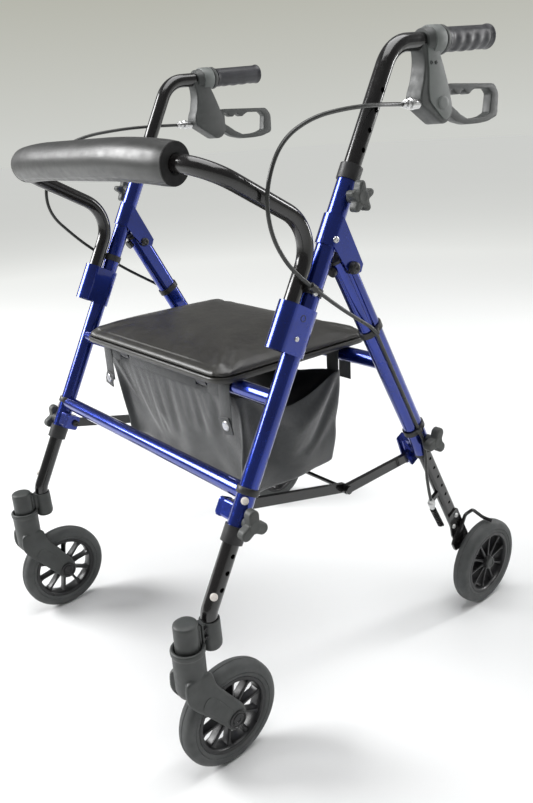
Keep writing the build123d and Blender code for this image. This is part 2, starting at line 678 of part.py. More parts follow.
def rear_extension():
    """Telescoping rear lower leg with its axle, brake bracket, cable adjuster and return spring."""
    section = rear_ext_section() - rear_ext_section(-1.5)
    leg = extrude(rear_plane(REAR_EXT_TOP) * section, rear_length + 10 - REAR_EXT_TOP)
    for step in range(6):
        leg -= disc(rear_yz(372 + 22 * step), SIDE_X - 2, SIDE_X + 8, 2.6)
    axle_center = (REAR_AXLE_Y, WHEEL_R)
    leg -= disc(axle_center, SIDE_X - 20, SIDE_X + 20, AXLE_R + SKIN_GAP)
    axle = disc(axle_center, 236, REAR_WHEEL_X + WHEEL_WIDTH / 2 - 0.4, AXLE_R)
    axle += disc(axle_center, 236, 241.4, 7)
    axle += disc(axle_center, 254.4, 263, 7)
    ext_face = REAR_EXT_X + REAR_EXT_THICK / 2
    bracket_shape = outline([
        rear_yz(505, -9),
        rear_yz(505, 14),
        rear_yz(545, 25),
        rear_yz(578, 24),
        rear_yz(584, 10),
        rear_yz(584, -9),
    ], 4)
    bracket = plate(bracket_shape, ext_face + SKIN_GAP, ext_face + 2.6)
    bracket += disc(BRAKE_PIVOT, ext_face + 2.6, ext_face + 8.1, 3)
    cable_end = Vector(*CABLE_END)
    along = (cable_end - Vector(*CABLE_NEXT)).normalized()
    adjuster = rod(tuple(cable_end + along * CABLE_EXIT_GAP), tuple(cable_end + along * 16), 4)
    adjuster += rod(tuple(cable_end + along * 4), tuple(cable_end + along * 9), 5.5)
    stay_shape = outline([rear_yz(441, 12.3), rear_yz(441, 30), rear_yz(448, 30), rear_yz(448, 12.3)])
    stay = plate(stay_shape, 248, 254)
    spring_from = tuple(cable_end + along * 16.5)
    spring = rod(spring_from, (256.0, *rear_yz(500, 36)), 3.4)
    return group(leg, axle, bracket, adjuster + stay, spring)


def brake_arm():
    """Sprung arm with a rod that is drawn down on the tyre's tread."""
    low = REAR_EXT_X + REAR_EXT_THICK / 2 + 2.6 + FIT_GAP
    shape = outline([rear_yz(540, 16), rear_yz(540, 3), rear_yz(574, 8), rear_yz(578, 24), rear_yz(572, 34),
                     rear_yz(556, 34)], 3)
    arm = plate(shape, low, low + 4)
    arm -= disc(BRAKE_PIVOT, low - 1, low + 5, 3 + RUNNING_GAP)
    x = low + 3.4
    path = FilletPolyline((x, *rear_yz(548, 9)), (x, 236, 172), (x + 1, 256, 174), (271, 272, 156.6),
                          (290, 272.4, 156.4), radius=[8, 8, 7])
    return arm + swept(path, Circle(3.0))


# ---- brake cables ----
CABLE_BULGE = {"left": 0.0, "right": -16.0}  # the right cable swings further forward in its free loop
FREE_LOOP = range(3, 7)


def cable_route(side):
    """Points of the left cable's route, or of the right one before it is mirrored."""
    points = [
        (FERRULE[0], FERRULE[1] - CABLE_EXIT_GAP, FERRULE[2]),
        (257.6, 50.0, 820.2),
        (267.0, 14.0, 820.0),
        (266.0, -38.0, 817.6),
        (265.4, -96.0, 809.0),
        (266.0, -144.0, 786.0),
        (267.4, -169.0, 741.0),
        (268.8, -169.0, 694.0),
        (269.2, -148.0, 655.0),
        (268.8, -118.0, 628.0),
        (267.4, -62.0, 587.0),
        (265.8, -22.0, 561.5),
        (264.6, *rear_yz(96.0, 7.0)),
        (CABLE_LEG_X, *rear_yz(122.0, GROOVE_N)),
        (CABLE_LEG_X, *rear_yz(303.0, GROOVE_N)),
        (263.4, *rear_yz(323.0, 5.2)),
        (263.2, *rear_yz(357.0, 16.5)),
        CABLE_NEXT,
        CABLE_END,
    ]
    bulge = CABLE_BULGE[side]
    return [(x, y + bulge * (i - 1 in FREE_LOOP), z) for i, (x, y, z) in enumerate(points)]


CABLE_SHARE = 0.45


def corner_radii(points):
    """Arc radius at each corner of a cord, from its two runs and its turn."""
    radii = []
    for before, corner, after in zip(points, points[1:], points[2:]):
        incoming = Vector(*corner) - Vector(*before)
        outgoing = Vector(*after) - Vector(*corner)
        turn = radians(incoming.get_angle(outgoing))
        radii.append(CABLE_SHARE * min(incoming.length, outgoing.length) / tan(turn / 2))
    return radii


def cable_path(side):
    points = cable_route(side)
    return FilletPolyline(*points, radius=corner_radii(points))


def brake_cable(side):
    return swept(cable_path(side), Circle(CABLE_R))


def front_cable_clip():
    """Band round the front leg with an eye for the cable."""
    low, high = 414.0, 424.0
    band = extrude(front_plane(low) * (Circle(LEG_R + 1.3) - Circle(LEG_R + SKIN_GAP)), high - low)
    tab_shape = outline([front_yz(low, -20), front_yz(low, 0), front_yz(high, 0), front_yz(high, -20)])
    band += plate(tab_shape, SIDE_X + LEG_R + SKIN_GAP, SIDE_X + LEG_R + 2.5)
    route = cable_route("left")
    start = Vector(*route[9])
    run = Vector(*route[10]) - start
    eye = rod(tuple(start + run * 0.16), tuple(start + run * 0.30), CABLE_R + 2.4)
    hole = rod(tuple(start), tuple(start + run), CABLE_R + SKIN_GAP)
    return band + eye - hole


# ---- nodes ----
each_side("front_leg", front_leg())
nodes["lower_crossbar"] = group(coped_crossbar(LOWER_BAR_Z))
nodes["seat_front_crossbar"] = group(coped_crossbar(SEAT_BAR_Z))
nodes["pivot_gussets"] = both(pivot_gusset())
nodes["backrest_sockets"] = both(backrest_socket())
lower_bush = leg_bush(LEG_BOTTOM, -1, 15.0, 7.0, 14.8)
upper_bush = leg_bush(LEG_TOP, 1, 9.0, 10.0, 14.6)
nodes["front_leg_bushings"] = both(group(lower_bush, upper_bush))
nodes["front_link_brackets"] = both(front_link_bracket())
nodes["front_frame_fasteners"] = both(front_fasteners())
nodes["front_cable_clips"] = both(front_cable_clip())
nodes["storage_bag"] = group(storage_bag())
rear_bar_center = rear_yz((PIVOT_Z - SEAT_BAR_Z) / rear_cos, REAR_LEG_SHIFT)
front_strap = bag_strap((SEAT_BAR_Y, SEAT_BAR_Z), 158, 54, 20)
rear_strap = bag_strap(rear_bar_center, 158, 24, 24)
nodes["bag_straps"] = both(group(front_strap, rear_strap))
nodes["brake_cable_left"] = group(brake_cable("left"))
nodes["brake_cable_right"] = group(mirror(brake_cable("right"), about=Plane.YZ))

each_side("rear_leg", rear_leg())
rear_bar_end = SIDE_X - REAR_LEG_THICK / 2
rear_bar = disc(rear_bar_center, -rear_bar_end, rear_bar_end, CROSSBAR_R)
rear_bar_bore = disc(rear_bar_center, -rear_bar_end, rear_bar_end, CROSSBAR_BORE_R)
nodes["seat_rear_crossbar"] = group(rear_bar - rear_bar_bore)
nodes["rear_leg_bushings"] = both(rear_bushings())
nodes["rear_link_brackets"] = both(group(rear_link_bracket(), rear_link_pin()))
nodes["rear_cable_clips"] = both(group(rear_cable_clip(98.0), rear_cable_clip(294.0)))

nodes["front_side_links"] = both(front_link())
nodes["link_cross_rod"] = group(disc(LINK_MID, -FRONT_LINK_X, FRONT_LINK_X, 3))
nodes["rear_side_links"] = both(rear_link())

nodes["seat_pad"] = group(seat_pad())
nodes["seat_board"] = group(seat_board())
nodes["seat_hinge_clips"] = both(seat_clip(105.0))

nodes["backrest_tube"] = group(backrest_tube())
nodes["backrest_pad"] = group(backrest_pad())

each_side("handle_tube", handle_tube())
each_side("hand_grip", hand_grip())
each_side("brake_housing", group(brake_housing(), ferrule()))
each_side("brake_lever", brake_lever())
leg_face = SIDE_X + LEG_R + FIT_GAP
ext_tip = SIDE_X + INNER_TUBE_R + 0.35
star_knob = lobed_knob(front_yz(STAR_KNOB_UP), leg_face + 2.4, ext_tip, 5, 6.5, 13.5, 13, 18)
each_side("handle_knob", star_knob)
front_knob = lobed_knob(front_yz(FRONT_KNOB_UP), leg_face, ext_tip, 3, 7.5, 15, 12, 90)
each_side("front_leg_knob", front_knob)
rear_face = SIDE_X + REAR_LEG_THICK / 2 + FIT_GAP
rear_tip = REAR_EXT_X + REAR_EXT_THICK / 2 + 0.35
rear_knob = lobed_knob(rear_yz(REAR_KNOB_DOWN, REAR_KNOB_AHEAD), rear_face, rear_tip, 3, 7.5, 15, 12, 70)
each_side("rear_leg_knob", rear_knob)

each_side("front_leg_extension", front_extension())
each_side("caster_housing", caster_housing())
each_side("caster_fork", caster_fork())
each_side("front_wheel", wheel_rim(FRONT_WHEEL_Y, FRONT_WHEEL_X))
each_side("front_tyre", tyre(FRONT_WHEEL_Y, FRONT_WHEEL_X))

each_side("rear_leg_extension", rear_extension())
each_side("brake_arm", brake_arm())
each_side("rear_wheel", wheel_rim(REAR_AXLE_Y, REAR_WHEEL_X))
each_side("rear_tyre", tyre(REAR_AXLE_Y, REAR_WHEEL_X))

for name, shape in nodes.items():
    export_step(shape, f"parts/{name}.step")

print("nodes:", len(nodes))
for side in ("left", "right"):
    length = cable_path(side).length
    volume = nodes[f"brake_cable_{side}"].volume
    radii = [round(radius) for radius in corner_radii(cable_route(side))]
    print(side, "cable length:", round(length), "arc radii:", radii)
    print(side, "cable volume over section times length:", round(volume / (pi * CABLE_R**2 * length), 4))
print("link pins:", FRONT_LINK_PIN, REAR_LINK_PIN, LINK_MID)
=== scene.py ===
import json
from math import cos, pi, radians, sin

import bmesh
import bpy
import numpy as np
from mathutils import Matrix, Vector, noise


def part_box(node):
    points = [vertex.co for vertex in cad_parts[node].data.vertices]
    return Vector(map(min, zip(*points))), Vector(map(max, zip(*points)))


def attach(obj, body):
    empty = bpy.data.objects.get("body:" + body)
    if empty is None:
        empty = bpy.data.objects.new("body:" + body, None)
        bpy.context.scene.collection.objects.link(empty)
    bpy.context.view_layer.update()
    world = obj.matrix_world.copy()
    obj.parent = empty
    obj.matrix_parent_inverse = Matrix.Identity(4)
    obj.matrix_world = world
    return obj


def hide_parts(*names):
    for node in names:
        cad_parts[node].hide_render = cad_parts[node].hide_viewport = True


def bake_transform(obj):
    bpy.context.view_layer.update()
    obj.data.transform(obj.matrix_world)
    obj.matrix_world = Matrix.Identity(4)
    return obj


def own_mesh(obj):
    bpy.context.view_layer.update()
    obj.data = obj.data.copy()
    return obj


# Looks of the folding rollator walker, in metres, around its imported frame.
# +Z is up, the casters face -Y and +X is the user's left. Side pieces are made on the left and mirrored.
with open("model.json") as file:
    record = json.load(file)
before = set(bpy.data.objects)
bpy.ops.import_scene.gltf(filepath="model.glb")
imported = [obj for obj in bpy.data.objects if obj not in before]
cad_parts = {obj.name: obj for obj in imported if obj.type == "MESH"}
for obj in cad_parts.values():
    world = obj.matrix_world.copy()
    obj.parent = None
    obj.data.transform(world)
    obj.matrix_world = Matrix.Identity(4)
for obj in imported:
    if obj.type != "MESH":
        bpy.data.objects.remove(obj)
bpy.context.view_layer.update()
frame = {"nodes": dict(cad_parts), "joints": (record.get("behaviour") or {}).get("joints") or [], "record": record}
nodes = frame["nodes"]
joints = {joint["name"]: joint for joint in frame["joints"]}
MM = 0.001
X_AXIS = Vector((1, 0, 0))


# ---- places, from the joints ----
def pin(name):
    """Where a joint turns."""
    return Vector(joints[name]["pos_m"])


SIDE_X = pin("caster_swivel_left").x
CASTER_Y = pin("caster_swivel_left").y
FRONT_AXLE = pin("front_wheel_spin_left")
REAR_AXLE = pin("rear_wheel_spin_left")
LEVER_PIN = pin("lever_squeeze_left")
BRAKE_PIN = pin("brake_press_left")
SEAT_BAR = pin("seat_flip")
FOLD_PIN = Vector((SIDE_X, pin("fold").y, pin("fold").z))
UP_LEG = Vector(joints["handle_height_left"]["axis"])
BACK_OF_LEG = Vector((0, UP_LEG.z, -UP_LEG.y))
DOWN_LEG = -Vector(joints["rear_height_left"]["axis"])
AHEAD_OF_LEG = Vector((0, DOWN_LEG.z, -DOWN_LEG.y))
FRONT_KNOB = pin("front_knob_turn_left")
FRONT_KNOB_UP = 124  # millimetres up the front leg from its bend
LEG_BEND = Vector((SIDE_X, FRONT_KNOB.y, FRONT_KNOB.z)) - UP_LEG * FRONT_KNOB_UP * MM
LEG_R = 12.7 * MM
WHEEL_R = FRONT_AXLE.z


def front_point(up, back=0.0, out=0.0):
    """Point up the left front leg from its bend, back from its axis and out from its plane, in mm."""
    return LEG_BEND + (UP_LEG * up + BACK_OF_LEG * back + X_AXIS * out) * MM


def rear_point(down, ahead=0.0, out=0.0):
    """Point down the left rear leg from the fold pivot, ahead of it and out from its plane, in mm."""
    return FOLD_PIN + (DOWN_LEG * down + AHEAD_OF_LEG * ahead + X_AXIS * out) * MM


def around(anchor, points):
    """(y, z) outline in metres from millimetre offsets round an anchor."""
    return [(anchor.y + u * MM, anchor.z + v * MM) for u, v in points]


# ---- mesh making ----
def new_piece(name, mesh):
    piece = bpy.data.objects.new(name, mesh)
    bpy.context.scene.collection.objects.link(piece)
    return piece


def smoothed(mesh, angle=38):
    mesh.shade_smooth()
    mesh.set_sharp_from_angle(angle=radians(angle))
    return mesh


def from_rings(name, rings, cap_ends=True, close_rings=True, angle=38):
    """Mesh through rings of points, each with the same number of points."""
    count = len(rings[0])
    points = [point for ring in rings for point in ring]
    faces = []
    for r in range(len(rings) - 1):
        for i in range(count if close_rings else count - 1):
            j = (i + 1) % count
            faces.append((r * count + i, r * count + j, (r + 1) * count + j, (r + 1) * count + i))
    if cap_ends:
        faces.append(tuple(reversed(range(count))))
        faces.append(tuple(range((len(rings) - 1) * count, len(rings) * count)))
    mesh = bpy.data.meshes.new(name)
    mesh.from_pydata([tuple(p) for p in points], [], faces)
    tidy = bmesh.new()
    tidy.from_mesh(mesh)
    bmesh.ops.remove_doubles(tidy, verts=tidy.verts, dist=1e-6)
    bmesh.ops.recalc_face_normals(tidy, faces=tidy.faces)
    tidy.to_mesh(mesh)
    tidy.free()
    return new_piece(name, smoothed(mesh, angle))


def frame_of(axis):
    """Two directions square to an axis."""
    axis = Vector(axis).normalized()
    helper = Vector((0, 0, 1)) if abs(axis.z) < 0.9 else X_AXIS
    across = axis.cross(helper).normalized()
    return axis, across, axis.cross(across)


def lathe(name, origin, axis, profile, segments=48, angle=38, hollow=False):
    """Solid of revolution, or a ring. profile holds (along, radius) in millimetres."""
    axis, across, other = frame_of(axis)
    if hollow:
        profile = profile + profile[:1]
    rings = []
    for along, radius in profile:
        center = Vector(origin) + axis * along * MM
        turn = [2 * pi * i / segments for i in range(segments)]
        rings.append([center + (across * cos(a) + other * sin(a)) * max(radius, 1e-4) * MM for a in turn])
    return from_rings(name, rings, cap_ends=not hollow, angle=angle)


def tube(name, points, radius, sides=14):
    """Round tube along points, without twist."""
    points = [Vector(p) for p in points]
    rings = []
    across = None
    for i, point in enumerate(points):
        ahead = (points[min(i + 1, len(points) - 1)] - points[max(i - 1, 0)]).normalized()
        if across is None:
            across = frame_of(ahead)[1]
        across = (across - ahead * across.dot(ahead)).normalized()
        other = ahead.cross(across)
        turn = [2 * pi * k / sides for k in range(sides)]
        rings.append([point + (across * cos(a) + other * sin(a)) * radius for a in turn])
    return from_rings(name, rings)


def ribbon(name, points, across, width, thickness):
    """Flat webbing through points, width and thickness in millimetres, with a soft edge."""
    across = across.normalized()
    section = rounded([(-width / 2, -thickness / 2), (width / 2, -thickness / 2), (width / 2, thickness / 2),
                       (-width / 2, thickness / 2)], 0.45 * thickness, 3)
    rings = []
    for i, point in enumerate(points):
        ahead = (points[min(i + 1, len(points) - 1)] - points[max(i - 1, 0)]).normalized()
        normal = across.cross(ahead).normalized()
        rings.append([point + (across * u + normal * v) * MM for u, v in section])
    return from_rings(name, rings)


def rounded(points, radius, steps=6):
    """Closed outline with its corners rounded."""
    result = []
    for i, corner in enumerate(points):
        corner = Vector(corner)
        before, after = Vector(points[i - 1]), Vector(points[(i + 1) % len(points)])
        reach = min(radius, 0.48 * (before - corner).length, 0.48 * (after - corner).length)
        start = corner + (before - corner).normalized() * reach
        end = corner + (after - corner).normalized() * reach
        for step in range(steps + 1):
            t = step / steps
            result.append(tuple(start * (1 - t) ** 2 + corner * 2 * t * (1 - t) + end * t ** 2))
    return result


def plate(name, outlines, x_low, x_high, bevel, steps=3):
    """Flat piece square to X through (y, z) outlines in metres, the later ones holes, with rounded edges."""
    curve = bpy.data.curves.new(name, "CURVE")
    curve.dimensions = "2D"
    curve.fill_mode = "BOTH"
    curve.extrude = (x_high - x_low) / 2 - bevel
    curve.bevel_depth = bevel
    curve.bevel_resolution = steps
    curve.offset = -bevel
    for outline in outlines:
        spline = curve.splines.new("POLY")
        spline.points.add(len(outline) - 1)
        for point, (u, v) in zip(spline.points, outline):
            point.co = (u, v, 0, 1)
        spline.use_cyclic_u = True
    holder = new_piece(name + "_curve", curve)
    mesh = bpy.data.meshes.new_from_object(holder.evaluated_get(bpy.context.evaluated_depsgraph_get()))
    bpy.data.objects.remove(holder)
    middle = (x_low + x_high) / 2
    mesh.transform(Matrix(((0, 0, 1, middle), (1, 0, 0, 0), (0, 1, 0, 0), (0, 0, 0, 1))))
    tidy = bmesh.new()
    tidy.from_mesh(mesh)
    bmesh.ops.remove_doubles(tidy, verts=tidy.verts, dist=1e-6)
    bmesh.ops.recalc_face_normals(tidy, faces=tidy.faces)
    tidy.to_mesh(mesh)
    tidy.free()
    mesh.materials.clear()
    return new_piece(name, smoothed(mesh, 50))


def joined(name, parts):
    """One piece from several."""
    whole = bmesh.new()
    for part in parts:
        whole.from_mesh(part.data)
        bpy.data.objects.remove(part)
    mesh = bpy.data.meshes.new(name)
    whole.to_mesh(mesh)
    whole.free()
    return new_piece(name, smoothed(mesh, 38))


def with_modifiers(piece):
    """Turns a piece's modifiers into its own mesh."""
    depsgraph = bpy.context.evaluated_depsgraph_get()
    mesh = bpy.data.meshes.new_from_object(piece.evaluated_get(depsgraph))
    piece.modifiers.clear()
    piece.data = mesh
    return piece


def fused(name, parts, voxel, rounds, angle=60):
    """Overlapping parts melted into one moulding with soft inner corners."""
    piece = joined(name, parts)
    remesh = piece.modifiers.new("Remesh", "REMESH")
    remesh.mode = "VOXEL"
    remesh.voxel_size = voxel
    smooth = piece.modifiers.new("Smooth", "SMOOTH")
    smooth.iterations = rounds
    with_modifiers(piece)
    smoothed(piece.data, angle)
    return piece


def coordinates(mesh):
    flat = np.zeros(len(mesh.vertices) * 3)
    mesh.vertices.foreach_get("co", flat)
    return flat.reshape(-1, 3)


def set_coordinates(mesh, points):
    mesh.vertices.foreach_set("co", np.asarray(points, float).ravel())
    mesh.update()


def spline_points(route, resolution=12):
    """Points along the smooth curve that a route's points control."""
    curve = bpy.data.curves.new("route", "CURVE")
    curve.dimensions = "3D"
    curve.resolution_u = resolution
    spline = curve.splines.new("NURBS")
    spline.points.add(len(route) - 1)
    for point, place in zip(spline.points, route):
        point.co = (*place, 1)
    spline.order_u = 3
    spline.use_endpoint_u = True
    holder = new_piece("route", curve)
    mesh = bpy.data.meshes.new_from_object(holder.evaluated_get(bpy.context.evaluated_depsgraph_get()))
    points = [v.co.copy() for v in mesh.vertices]
    bpy.data.objects.remove(holder)
    return points


# ---- materials ----
class Finish:
    """A procedural material under construction."""

    def __init__(
        self, name, color, roughness, metallic=0.0, specular=0.5, coat=0.0, coat_roughness=0.1, sheen=0.0
    ):
        self.material = bpy.data.materials.new(name)
        self.material.use_nodes = True
        self.tree = self.material.node_tree
        self.shader = self.tree.nodes["Principled BSDF"]
        self.set("Base Color", (*color, 1))
        self.set("Roughness", roughness)
        self.set("Metallic", metallic)
        self.set("Specular IOR Level", specular)
        self.set("Coat Weight", coat)
        self.set("Coat Roughness", coat_roughness)
        self.set("Sheen Weight", sheen)
        self.place = self.tree.nodes.new("ShaderNodeTexCoord").outputs["Object"]
        self.normal = None

    def set(self, socket, value):
        self.shader.inputs[socket].default_value = value

    def add(self, kind, inputs, **settings):
        made = self.tree.nodes.new(kind)
        for key, value in settings.items():
            setattr(made, key, value)
        for key, value in inputs.items():
            if isinstance(value, bpy.types.NodeSocket):
                self.tree.links.new(value, made.inputs[key])
            else:
                made.inputs[key].default_value = value
        return made

    def noise(self, scale, detail=3.0):
        inputs = {"Vector": self.place, "Scale": scale, "Detail": detail}
        return self.add("ShaderNodeTexNoise", inputs).outputs["Fac"]

    def cells(self, scale):
        inputs = {"Vector": self.place, "Scale": scale}
        return self.add("ShaderNodeTexVoronoi", inputs, feature="SMOOTH_F1").outputs["Distance"]

    def math(self, operation, first, second=0.0):
        return self.add("ShaderNodeMath", {0: first, 1: second}, operation=operation).outputs["Value"]

    def weave(self, pitch):
        """Over and under of square-woven cloth, whichever way a panel faces."""
        axes = self.add("ShaderNodeSeparateXYZ", {"Vector": self.place}).outputs
        along = self.math("MULTIPLY", self.math("ADD", axes["X"], axes["Y"]), 2 * pi / pitch)
        up = self.math("MULTIPLY", self.math("SUBTRACT", axes["Z"], axes["Y"]), 2 * pi / pitch)
        return self.math("MULTIPLY", self.math("SINE", along), self.math("SINE", up))

    def ranged(self, factor, low, high):
        inputs = {"Value": factor, "From Min": 0.3, "From Max": 0.7, "To Min": low, "To Max": high}
        return self.add("ShaderNodeMapRange", inputs).outputs["Result"]

    def color_range(self, factor, low, high):
        mixed = self.add("ShaderNodeMix", {}, data_type="RGBA")
        self.tree.links.new(self.ranged(factor, 0.0, 1.0), mixed.inputs["Factor"])
        mixed.inputs[6].default_value = (*low, 1)
        mixed.inputs[7].default_value = (*high, 1)
        self.tree.links.new(mixed.outputs[2], self.shader.inputs["Base Color"])
        return self

    def roughness_range(self, factor, low, high):
        self.tree.links.new(self.ranged(factor, low, high), self.shader.inputs["Roughness"])
        return self

    def bump(self, height, distance, strength=1.0):
        inputs = {"Height": height, "Distance": distance, "Strength": strength}
        if self.normal is not None:
            inputs["Normal"] = self.normal
        self.normal = self.add("ShaderNodeBump", inputs).outputs["Normal"]
        self.tree.links.new(self.normal, self.shader.inputs["Normal"])
        return self


def moulded(name, low, high, roughness, grain=0.00003, specular=0.5):
    """Textured plastic with slightly uneven tone and sheen."""
    finish = Finish(name, high, roughness, specular=specular)
    finish.color_range(finish.noise(40), low, high)
    finish.roughness_range(finish.noise(120), roughness - 0.07, roughness + 0.08)
    finish.bump(finish.noise(2600, 2), grain)
    return finish.bump(finish.noise(60, 2), 0.0002, 0.4).material


def paint(name, low, high, roughness, metallic, coat):
    """Sprayed lacquer under a clear coat, with a little orange peel."""
    finish = Finish(name, high, roughness, metallic=metallic, coat=coat, coat_roughness=0.04)
    finish.color_range(finish.noise(14), low, high)
    finish.roughness_range(finish.noise(160), roughness - 0.03, roughness + 0.04)
    return finish.bump(finish.noise(300, 1), 0.00002, 0.4).material


def bright_metal(name, color, roughness):
    finish = Finish(name, color, roughness, metallic=1.0)
    finish.color_range(finish.noise(300), tuple(0.8 * c for c in color), color)
    finish.roughness_range(finish.noise(900), roughness - 0.08, roughness + 0.12)
    return finish.bump(finish.noise(1500, 2), 0.00003, 0.6).material


def vinyl(name, low, high, roughness):
    """Padded vinyl with a fine pebbled grain."""
    finish = Finish(name, high, roughness, specular=0.55, coat=0.12, coat_roughness=0.3)
    finish.color_range(finish.noise(26), low, high)
    finish.roughness_range(finish.noise(90), roughness - 0.05, roughness + 0.09)
    finish.bump(finish.cells(900), 0.00006, 0.5)
    return finish.bump(finish.noise(30, 2), 0.0006, 0.2).material


def nylon(name, low, high):
    """Woven nylon with soft creases."""
    finish = Finish(name, high, 0.6, specular=0.5, sheen=0.5)
    finish.set("Sheen Roughness", 0.45)
    finish.color_range(finish.noise(18, 5), low, high)
    finish.roughness_range(finish.noise(240), 0.5, 0.7)
    finish.bump(finish.weave(0.0011), 0.00010, 0.6)
    return finish.bump(finish.noise(20, 3), 0.0016, 0.35).material


def tyre_rubber():
    finish = Finish("tyre_rubber", (0.052, 0.056, 0.058), 0.62, specular=0.4)
    finish.color_range(finish.noise(30, 4), (0.055, 0.058, 0.058), (0.085, 0.089, 0.088))
    finish.roughness_range(finish.noise(140), 0.52, 0.72)
    finish.bump(finish.noise(900, 3), 0.00006, 0.7)
    return finish.bump(finish.noise(70, 3), 0.0003, 0.4).material


def cream_cap():
    finish = Finish("cream_cap", (0.80, 0.76, 0.70), 0.4)
    finish.color_range(finish.noise(400), (0.72, 0.66, 0.60), (0.88, 0.84, 0.80))
    return finish.bump(finish.noise(800), 0.00005, 0.6).material


finishes = {
    "blue_paint": paint("blue_paint", (0.005, 0.020, 0.20), (0.010, 0.034, 0.31), 0.24, 0.85, 1.0),
    "black_paint": paint("black_paint", (0.003, 0.003, 0.003), (0.007, 0.006, 0.006), 0.22, 0.0, 0.5),
    "bolt_steel": bright_metal("bolt_steel", (0.62, 0.62, 0.62), 0.3),
    "dark_plastic": moulded("dark_plastic", (0.012, 0.012, 0.013), (0.022, 0.022, 0.023), 0.42),
    "grey_plastic": moulded("grey_plastic", (0.036, 0.039, 0.038), (0.052, 0.056, 0.054), 0.48),
    "knob_plastic": moulded("knob_plastic", (0.042, 0.045, 0.043), (0.060, 0.064, 0.061), 0.5),
    "wheel_plastic": moulded("wheel_plastic", (0.007, 0.007, 0.008), (0.014, 0.014, 0.015), 0.34),
    "tyre_rubber": tyre_rubber(),
    "grip_rubber": moulded("grip_rubber", (0.013, 0.013, 0.016), (0.024, 0.025, 0.031), 0.4, 0.00008),
    "seat_vinyl": vinyl("seat_vinyl", (0.019, 0.018, 0.016), (0.028, 0.027, 0.023), 0.36),
    "backrest_vinyl": vinyl("backrest_vinyl", (0.022, 0.023, 0.022), (0.032, 0.033, 0.032), 0.40),
    "bag_fabric": nylon("bag_fabric", (0.014, 0.016, 0.017), (0.024, 0.026, 0.027)),
    "cable_jacket": moulded("cable_jacket", (0.018, 0.019, 0.018), (0.032, 0.034, 0.032), 0.33),
}
housing_face = moulded("housing_face", (0.105, 0.115, 0.110), (0.130, 0.142, 0.136), 0.5)
dark_foam = moulded("dark_foam", (0.004, 0.004, 0.004), (0.009, 0.009, 0.009), 0.8)
cream = cream_cap()
slot_of = {part["node"]: part["material_slot"] for part in frame["record"]["subparts"]}


def dress(piece, body, slot, material=None):
    """Gives a finished piece its material, the slot's finish unless a material is given, and the body it moves
    with.
    """
    piece.data.materials.clear()
    piece.data.materials.append(material or finishes[slot])
    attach(piece, body)
    return piece


def twin_of(piece, name):
    """Mirror image on the right-hand side."""
    mesh = piece.data.copy()
    mesh.transform(Matrix.Scale(-1, 4, X_AXIS))
    mesh.flip_normals()
    return new_piece(name, mesh)


def both_sides(piece, body, slot, stands_for=None, material=None):
    """Finishes a left-hand piece and its mirror image. body and stands_for may hold {side}."""
    base = piece.name
    twin = twin_of(piece, base + "_right")
    piece.name = base + "_left"
    pair = {"left": piece, "right": twin}
    for side, made in pair.items():
        dress(made, body.format(side=side), slot, material)
        if stands_for:
            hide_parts(stands_for.format(side=side))
    return pair


for name, node in nodes.items():
    node.data.materials.clear()
    node.data.materials.append(finishes[slot_of[name]])


# ---- camera, light and floor ----
CAMERA_PLACE = (0.8998, -0.6997, 0.7915)
CAMERA_AZIMUTH = radians(50.96)
CAMERA_ELEVATION = radians(19.95)
CAMERA_ROLL = radians(-3.55)
CAMERA_LENS = 32.63


FAR_PAPER = (0.62, 0.63, 0.60)
HIGH_PAPER = (0.44, 0.44, 0.38)
ROOM_LIGHT = 0.20


def make_camera():
    back = Vector((
        sin(CAMERA_AZIMUTH) * cos(CAMERA_ELEVATION),
        -cos(CAMERA_AZIMUTH) * cos(CAMERA_ELEVATION),
        sin(CAMERA_ELEVATION),
    ))
    level = Vector((cos(CAMERA_AZIMUTH), sin(CAMERA_AZIMUTH), 0))
    above = back.cross(level)
    right = level * cos(CAMERA_ROLL) + above * sin(CAMERA_ROLL)
    upward = above * cos(CAMERA_ROLL) - level * sin(CAMERA_ROLL)
    data = bpy.data.cameras.new("camera")
    data.lens = CAMERA_LENS
    camera = bpy.data.objects.new("camera", data)
    bpy.context.scene.collection.objects.link(camera)
    turned = Matrix((right, upward, back)).transposed().to_4x4()
    camera.matrix_world = Matrix.Translation(CAMERA_PLACE) @ turned
    bpy.context.scene.camera = camera


def softbox(name, place, target, size, power):
    data = bpy.data.lights.new(name, "AREA")
    data.shape = "RECTANGLE"
    data.size, data.size_y = size
    data.energy = power
    light = bpy.data.objects.new(name, data)
    bpy.context.scene.collection.objects.link(light)
    light.location = place
    light.rotation_mode = "QUATERNION"
    light.rotation_quaternion = (Vector(target) - Vector(place)).to_track_quat("-Z", "Y")
    light.visible_camera = False


